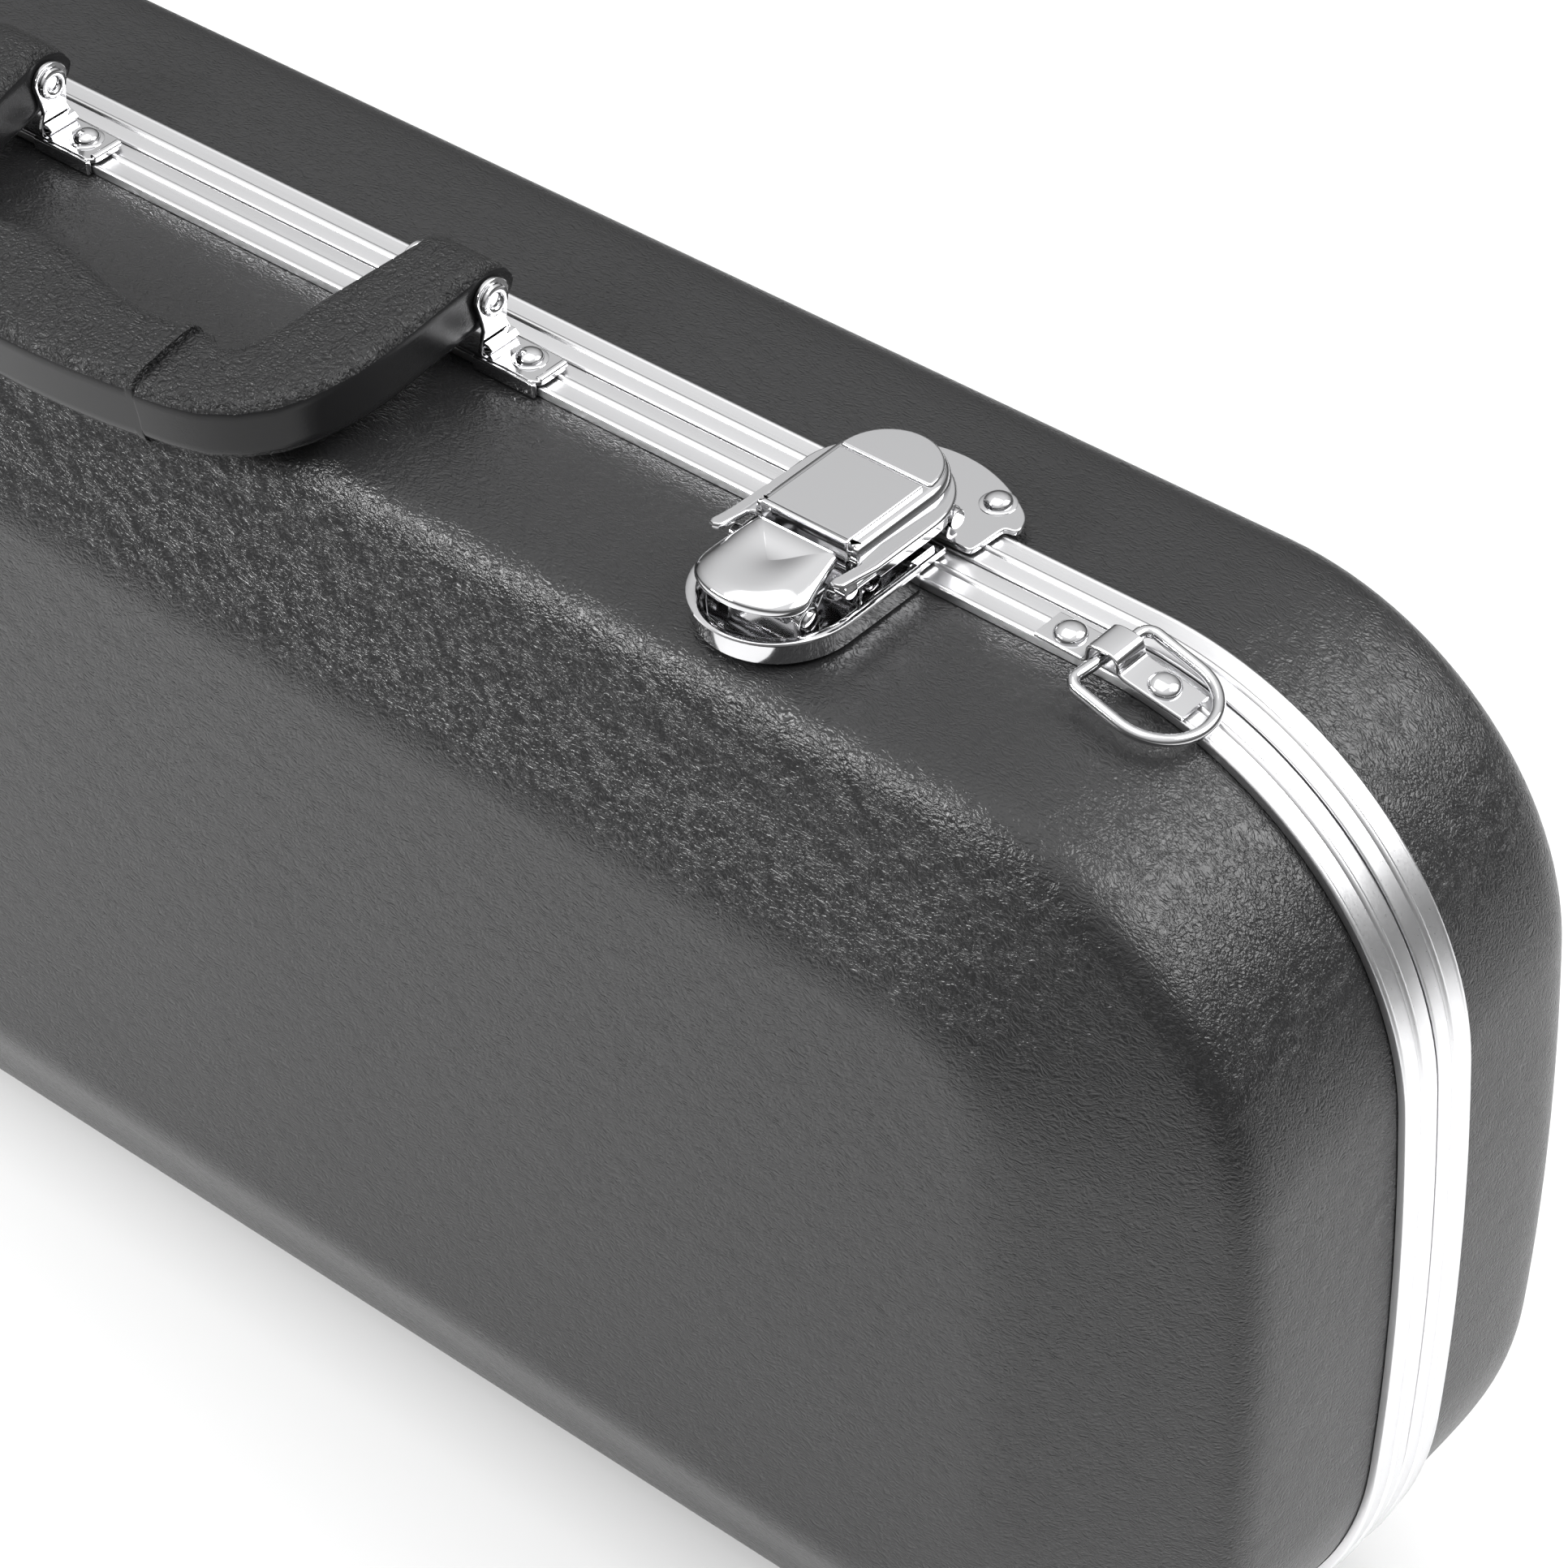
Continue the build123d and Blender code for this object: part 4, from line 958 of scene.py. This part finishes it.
def pocket_line():
    """Counter-clockwise plan (x, z) of the hollow, its inner corners softened."""
    low_x = SCROLL[0] - SCROLL[1] + 0.1
    high_x = LOWER_BOUT[0] + LOWER_BOUT[1] - 0.1
    share = (1 - np.cos(np.linspace(0, math.pi, 420))) / 2
    xs = low_x + (high_x - low_x) * share
    widths = np.array([pocket_half_width(x) for x in xs])
    for _ in range(24):
        widths[1:-1] = (widths[:-2] + 2 * widths[1:-1] + widths[2:]) / 4
    lower = [(x, MID_Z - w) for x, w in zip(xs, widths)]
    upper = [(x, MID_Z + w) for x, w in zip(xs, widths)][::-1]
    return lower[:-1] + upper[:-1]


def laid(line, y):
    """Plan line of (x, z) placed at one distance from the split."""
    return [(p[0], y, p[1]) for p in line]


def inside(point, line):
    """Whether a point lies within a closed line."""
    x, z = point
    hit = False
    for (xa, za), (xb, zb) in zip(line, line[1:] + line[:1]):
        if (za > z) != (zb > z) and x < xa + (z - za) / (zb - za) * (xb - xa):
            hit = not hit
    return hit


def foam_bed():
    """Plush bed: level land round a violin-shaped hollow, with a hole each side for a compartment."""
    boxes = []
    for low, high in ((MID_Z + BOX_LOW, MID_Z + BOX_HIGH), (MID_Z - BOX_HIGH, MID_Z - BOX_LOW)):
        boxes.append(slab(BOX_SPAN[0], BOX_SPAN[1], low, high, 4))
    holes = [(pocket_line(), 4.0)] + [(box, 0.6) for box in boxes]
    rim = [tuple(p) for p in (OUT_P - OUT_N * 7.2)[::-1]]
    skin = Skin()
    lines = [rim] + [[tuple(p) for p in inset(line, -soft)] for line, soft in holes]
    points, edges = [], []
    for line in lines:
        first = len(points)
        points += [Vector(p) for p in line]
        edges += [(first + i, first + (i + 1) % len(line)) for i in range(len(line))]
    flat, _, tris, *_ = mathutils.geometry.delaunay_2d_cdt(points, edges, [], 1, 1e-5)
    kept = []
    for tri in tris:
        centre = sum((flat[i] for i in tri), Vector((0, 0))) / len(tri)
        if inside(centre, lines[0]) and not any(inside(centre, line) for line in lines[1:]):
            kept.append(tri)
    skin.add([(p.x, FOAM_TOP, p.y) for p in flat], kept)
    for line, soft in holes:
        rows = []
        for t in np.radians((0, 20, 40, 60, 80, 90)):
            rows.append(laid(inset(line, -soft * (1 - math.sin(t))), FOAM_TOP - soft * (1 - math.cos(t))))
        rows.append(laid(line, FLOOR_Y + FLOOR_R))
        if soft > 1:
            for t in np.radians((30, 60, 90)):
                drawn_in = inset(line, FLOOR_R * (1 - math.cos(t)))
                rows.append(laid(drawn_in, FLOOR_Y + FLOOR_R * (1 - math.sin(t))))
        cols = len(rows[0])
        faces = grid_faces(len(rows), cols) + [row_face(len(rows) - 1, cols)]
        skin.add([p for row in rows for p in row], faces)
    edge = ((7.2, 8.3), (5.6, 8.5), (4.2, 9.3), (3.5, 11.0), (3.4, 30.0), (4.2, 46.0))
    skin.stack([laid(OUT_P - OUT_N * t, -depth) for t, depth in edge], cap=False)
    obj = skin.finish("foam_bed", PLUSH, "base", ["liner_floor", "liner_upper_side", "liner_lower_side"],
                      sharp=50)


def lid_padding():
    """Plush padding of the lid: a rounded lip, padded walls that follow the shell and a flat panel."""
    rows = [(34, 3.5, 3.5), (12.0, 3.5, 3.5), (10.5, 4.2, 4.2), (10.0, 6.0, 6.0), (10.5, 7.8, 7.8),
            (11.8, 8.7, 8.7)]
    scale = PANEL_Y / LID_TOP[-1][0]
    profile = shell_section(LID_TOP, LID_END)
    rows += [(d * scale, i + PAD_T, e + PAD_T) for d, i, e in profile if d * scale > 13]
    loops = [ring(d, i, 1, e) for d, i, e in rows]
    cols = len(OUT_P)
    faces = grid_faces(len(loops), cols) + [row_face(len(loops) - 1, cols)]
    obj = new_mesh("lid_padding", [v for row in loops for v in row], faces, PLUSH, sharp=60)
    declare(obj, "lid", ["lid_liner", "lid_pad"])


def compartment(name, node, low, high):
    """Plush-covered tray with a soft rim and rounded inner corners."""
    skin = Skin()
    plan = slab(BOX_SPAN[0] + 0.4, BOX_SPAN[1] - 0.4, low + 0.4, high - 0.4, 4.5)
    shape = ((1.5, -56.0), (0.1, -54.5), (0.0, -10.2), (0.25, -9.5), (0.9, -9.05), (1.6, -9.3),
             (2.0, -10.0), (2.1, -50.0), (2.8, -52.6), (4.4, -53.9))
    skin.stack([laid(inset(plan, i), y) for i, y in shape])
    obj = skin.finish(name, PLUSH, "base", [node], sharp=55)


def accessory_flap():
    """Hinged padded flap of the accessory tray, and its pull."""
    skin = Skin()
    low, high = MID_Z + BOX_LOW + 0.7, MID_Z + BOX_HIGH - 4.0
    plan = slab(BOX_SPAN[0] + 1.2, BOX_SPAN[1] - 1.2, low, high, 3.5)
    skin.plate(plan, -8.55, -5.45, 1.3, 0.7, axes="xzy")
    hinge_z = MID_Z + BOX_HIGH - 3.0
    skin.rod((BOX_SPAN[0] + 1.4, -7.0, hinge_z), (BOX_SPAN[1] - 1.4, -7.0, hinge_z), 1.55)
    obj = skin.finish("accessory_flap", PLUSH, "flap", ["accessory_lid"], sharp=55)
    knob = Skin()
    spot = ((BOX_SPAN[0] + BOX_SPAN[1]) / 2, -5.5, MID_Z + BOX_LOW + 11)
    button = ((3.2, 0), (3.2, 0.5), (2.0, 1.0), (1.9, 1.8), (4.4, 2.3), (4.9, 2.9), (4.6, 3.5), (3.2, 3.85),
              (0.05, 3.9))
    knob.lathe(button, spot, (0, 1, 0))
    knob.finish("accessory_pull", CHROME, "flap", ["accessory_knob"])


def neck_rest():
    """Padded saddle for the neck, and the webbing tie that lies over it."""
    half = 30.7
    low_side = [(-half, -56.0), (-half, -19.5), (1.0 - half, -17.0), (3.4 - half, -16.1), (-19.2, -16.1)]
    hollow = bend_points(0, -14.0, 17.0, 187, 353, 20)
    line = [(MID_Z + z, y) for z, y in low_side + hollow + mirrored(low_side)]
    skin = Skin(move(NECK_X, 0, 0))
    rows = []
    for x, soft in ((-15.8, 1.8), (-15.2, 0.8), (-14.0, 0.15), (-12, 0), (12, 0), (14.0, 0.15), (15.2, 0.8),
                    (15.8, 1.8)):
        rows.append([(x, y, z) for z, y in inset(line[::-1], soft)])
    skin.stack(rows)
    pad = skin.finish("neck_rest_pad", PLUSH, "base", ["neck_cradle"], sharp=55)
    tie = Skin(move(NECK_X, 0, 0))
    low_half = [(-30.3, -15.2), (-27.5, -15.2), (-24.6, -14.9), (-22.5, -14.0), (-18, -13.6)]
    drape = [(MID_Z + z, y) for z, y in low_half + [(0, -13.4)] + mirrored(low_half)]
    tie.ribbon(chaikin(drape, 2), 1.5, -11, 11, "zyx", edge=0.5)
    band = tie.finish("neck_tie", WEBBING, "base", ["neck_strap"], sharp=50)


def bow_loop(name, z):
    """Padded loop under the lid that takes the end of a bow."""
    skin = Skin(move(BOW_LOOP_X, 0, 0))
    line = rounded([(z - 10.2, 36.0), (z + 10.2, 36.0), (z + 10.2, 58.0), (z - 10.2, 58.0)], 5.0, 8)
    skin.ribbon(line, 3.4, -9.0, 9.0, "zyx", closed=True, edge=1.1)
    obj = skin.finish(f"bow_holder_{name}", PLUSH, "lid", [f"bow_loop_{name}"], sharp=60)


foam_bed()
lid_padding()
compartment("accessory_tray", "accessory_box", MID_Z + BOX_LOW, MID_Z + BOX_HIGH)
compartment("side_compartment", "side_tray", MID_Z - BOX_HIGH, MID_Z - BOX_LOW)
accessory_flap()
neck_rest()
bow_loop("upper", MID_Z + 52)
bow_loop("lower", MID_Z - 52)


# ---- stage, light and camera -----------------------------
def area_light(name, spot, aim, size, power):
    data = bpy.data.lights.new(name, "AREA")
    data.shape = "RECTANGLE"
    data.size, data.size_y = size
    data.energy = power
    lamp = bpy.data.objects.new(name, data)
    bpy.context.scene.collection.objects.link(lamp)
    lamp.location = spot
    lamp.rotation_euler = (Vector(aim) - Vector(spot)).to_track_quat("-Z", "Y").to_euler()


def studio_world():
    """Soft dome: dim near the horizon and bright overhead."""
    dome = bpy.data.worlds.new("studio")
    dome.use_nodes = True
    tree = dome.node_tree
    back = tree.nodes["Background"]
    back.inputs["Color"].default_value = (1, 1, 1, 1)
    parts = tree.nodes.new("ShaderNodeSeparateXYZ")
    tree.links.new(tree.nodes.new("ShaderNodeTexCoord").outputs["Generated"], parts.inputs["Vector"])
    tree.links.new(spread(tree, parts.outputs["Z"], HORIZON, ZENITH, 0.08, 0.8), back.inputs["Strength"])
    bpy.context.scene.world = dome


def pale_floor():
    """Pale matt floor with a painted pool of light: bright by the case, fading to painted grey shade well
    away from it.
    """
    mat, tree, shader = new_material("pale_floor", (0.8, 0.8, 0.8), 0.8, specular=0.15)
    away = tree.nodes.new("ShaderNodeVectorMath")
    away.operation = "DISTANCE"
    tree.links.new(object_vector(tree), away.inputs[0])
    away.inputs[1].default_value = (0.12, 0.2, 0.0)
    # Painted light: the floor colour is bright near the case and darkens with distance, a painted falloff
    # that the shell reflects as shade.
    painted_light_falloff = spread(tree, away.outputs["Value"], FLOOR_PAINTED_LIGHT_NEAR, FLOOR_PAINTED_SHADE_FAR, 0.5, 1.3, "SMOOTHSTEP")
    tree.links.new(painted_light_falloff, shader.inputs["Base Color"])
    return mat


# Strength of the dome low down and overhead, and the floor colour by the case and far from it: a painted pool
# of light, darker away from the case.
HORIZON = 0.1
ZENITH = 1.15
FLOOR_PAINTED_LIGHT_NEAR = 0.78
FLOOR_PAINTED_SHADE_FAR = 0.16
floor = new_mesh("floor", [(-9, -9, 0), (9, -9, 0), (9, 9, 0), (-9, 9, 0)], [(0, 1, 2, 3)])
floor.data.materials.append(pale_floor())
studio_world()
area_light("ridge_softbox", (-0.49, -0.92, 0.92), (0.15, -0.05, 0.24), (0.8, 0.12), 18)
area_light("corner_softbox", (1.0, 0.75, 1.15), (0.36, 0.0, 0.2), (0.8, 0.8), 9)
area_light("end_softbox", (0.85, 0.4, 0.9), (0.7, 0.2, 0.0), (0.6, 0.6), 6)
area_light("overhead", (0.1, -0.1, 1.7), (0.1, -0.1, 0.0), (1.5, 1.5), 7)

AZIMUTH, ELEVATION, ROLL = 43.818, 40.164, -3.581
CAMERA_SPOT = (521.5, -644.9, 667.4)
FOCAL_IN_WIDTHS = 3.40041408
SENSOR = 36


def camera():
    """Camera at the place and angle that the edges of the case give."""
    az, el, roll = (math.radians(v) for v in (AZIMUTH, ELEVATION, ROLL))
    forward = Vector((-math.sin(az) * math.cos(el), math.cos(az) * math.cos(el), -math.sin(el)))
    level = Vector((math.cos(az), math.sin(az), 0))
    above = level.cross(forward)
    right = level * math.cos(roll) + above * math.sin(roll)
    up = -level * math.sin(roll) + above * math.cos(roll)
    data = bpy.data.cameras.new("camera")
    data.sensor_width = SENSOR
    data.lens = FOCAL_IN_WIDTHS * SENSOR
    cam = bpy.data.objects.new("camera", data)
    bpy.context.scene.collection.objects.link(cam)
    rotation = Matrix((right, up, -forward)).transposed()
    cam.matrix_world = Matrix.Translation(world(*CAMERA_SPOT)) @ rotation.to_4x4()
    bpy.context.scene.camera = cam


camera()
bpy.context.scene.view_settings.view_transform = "Standard"
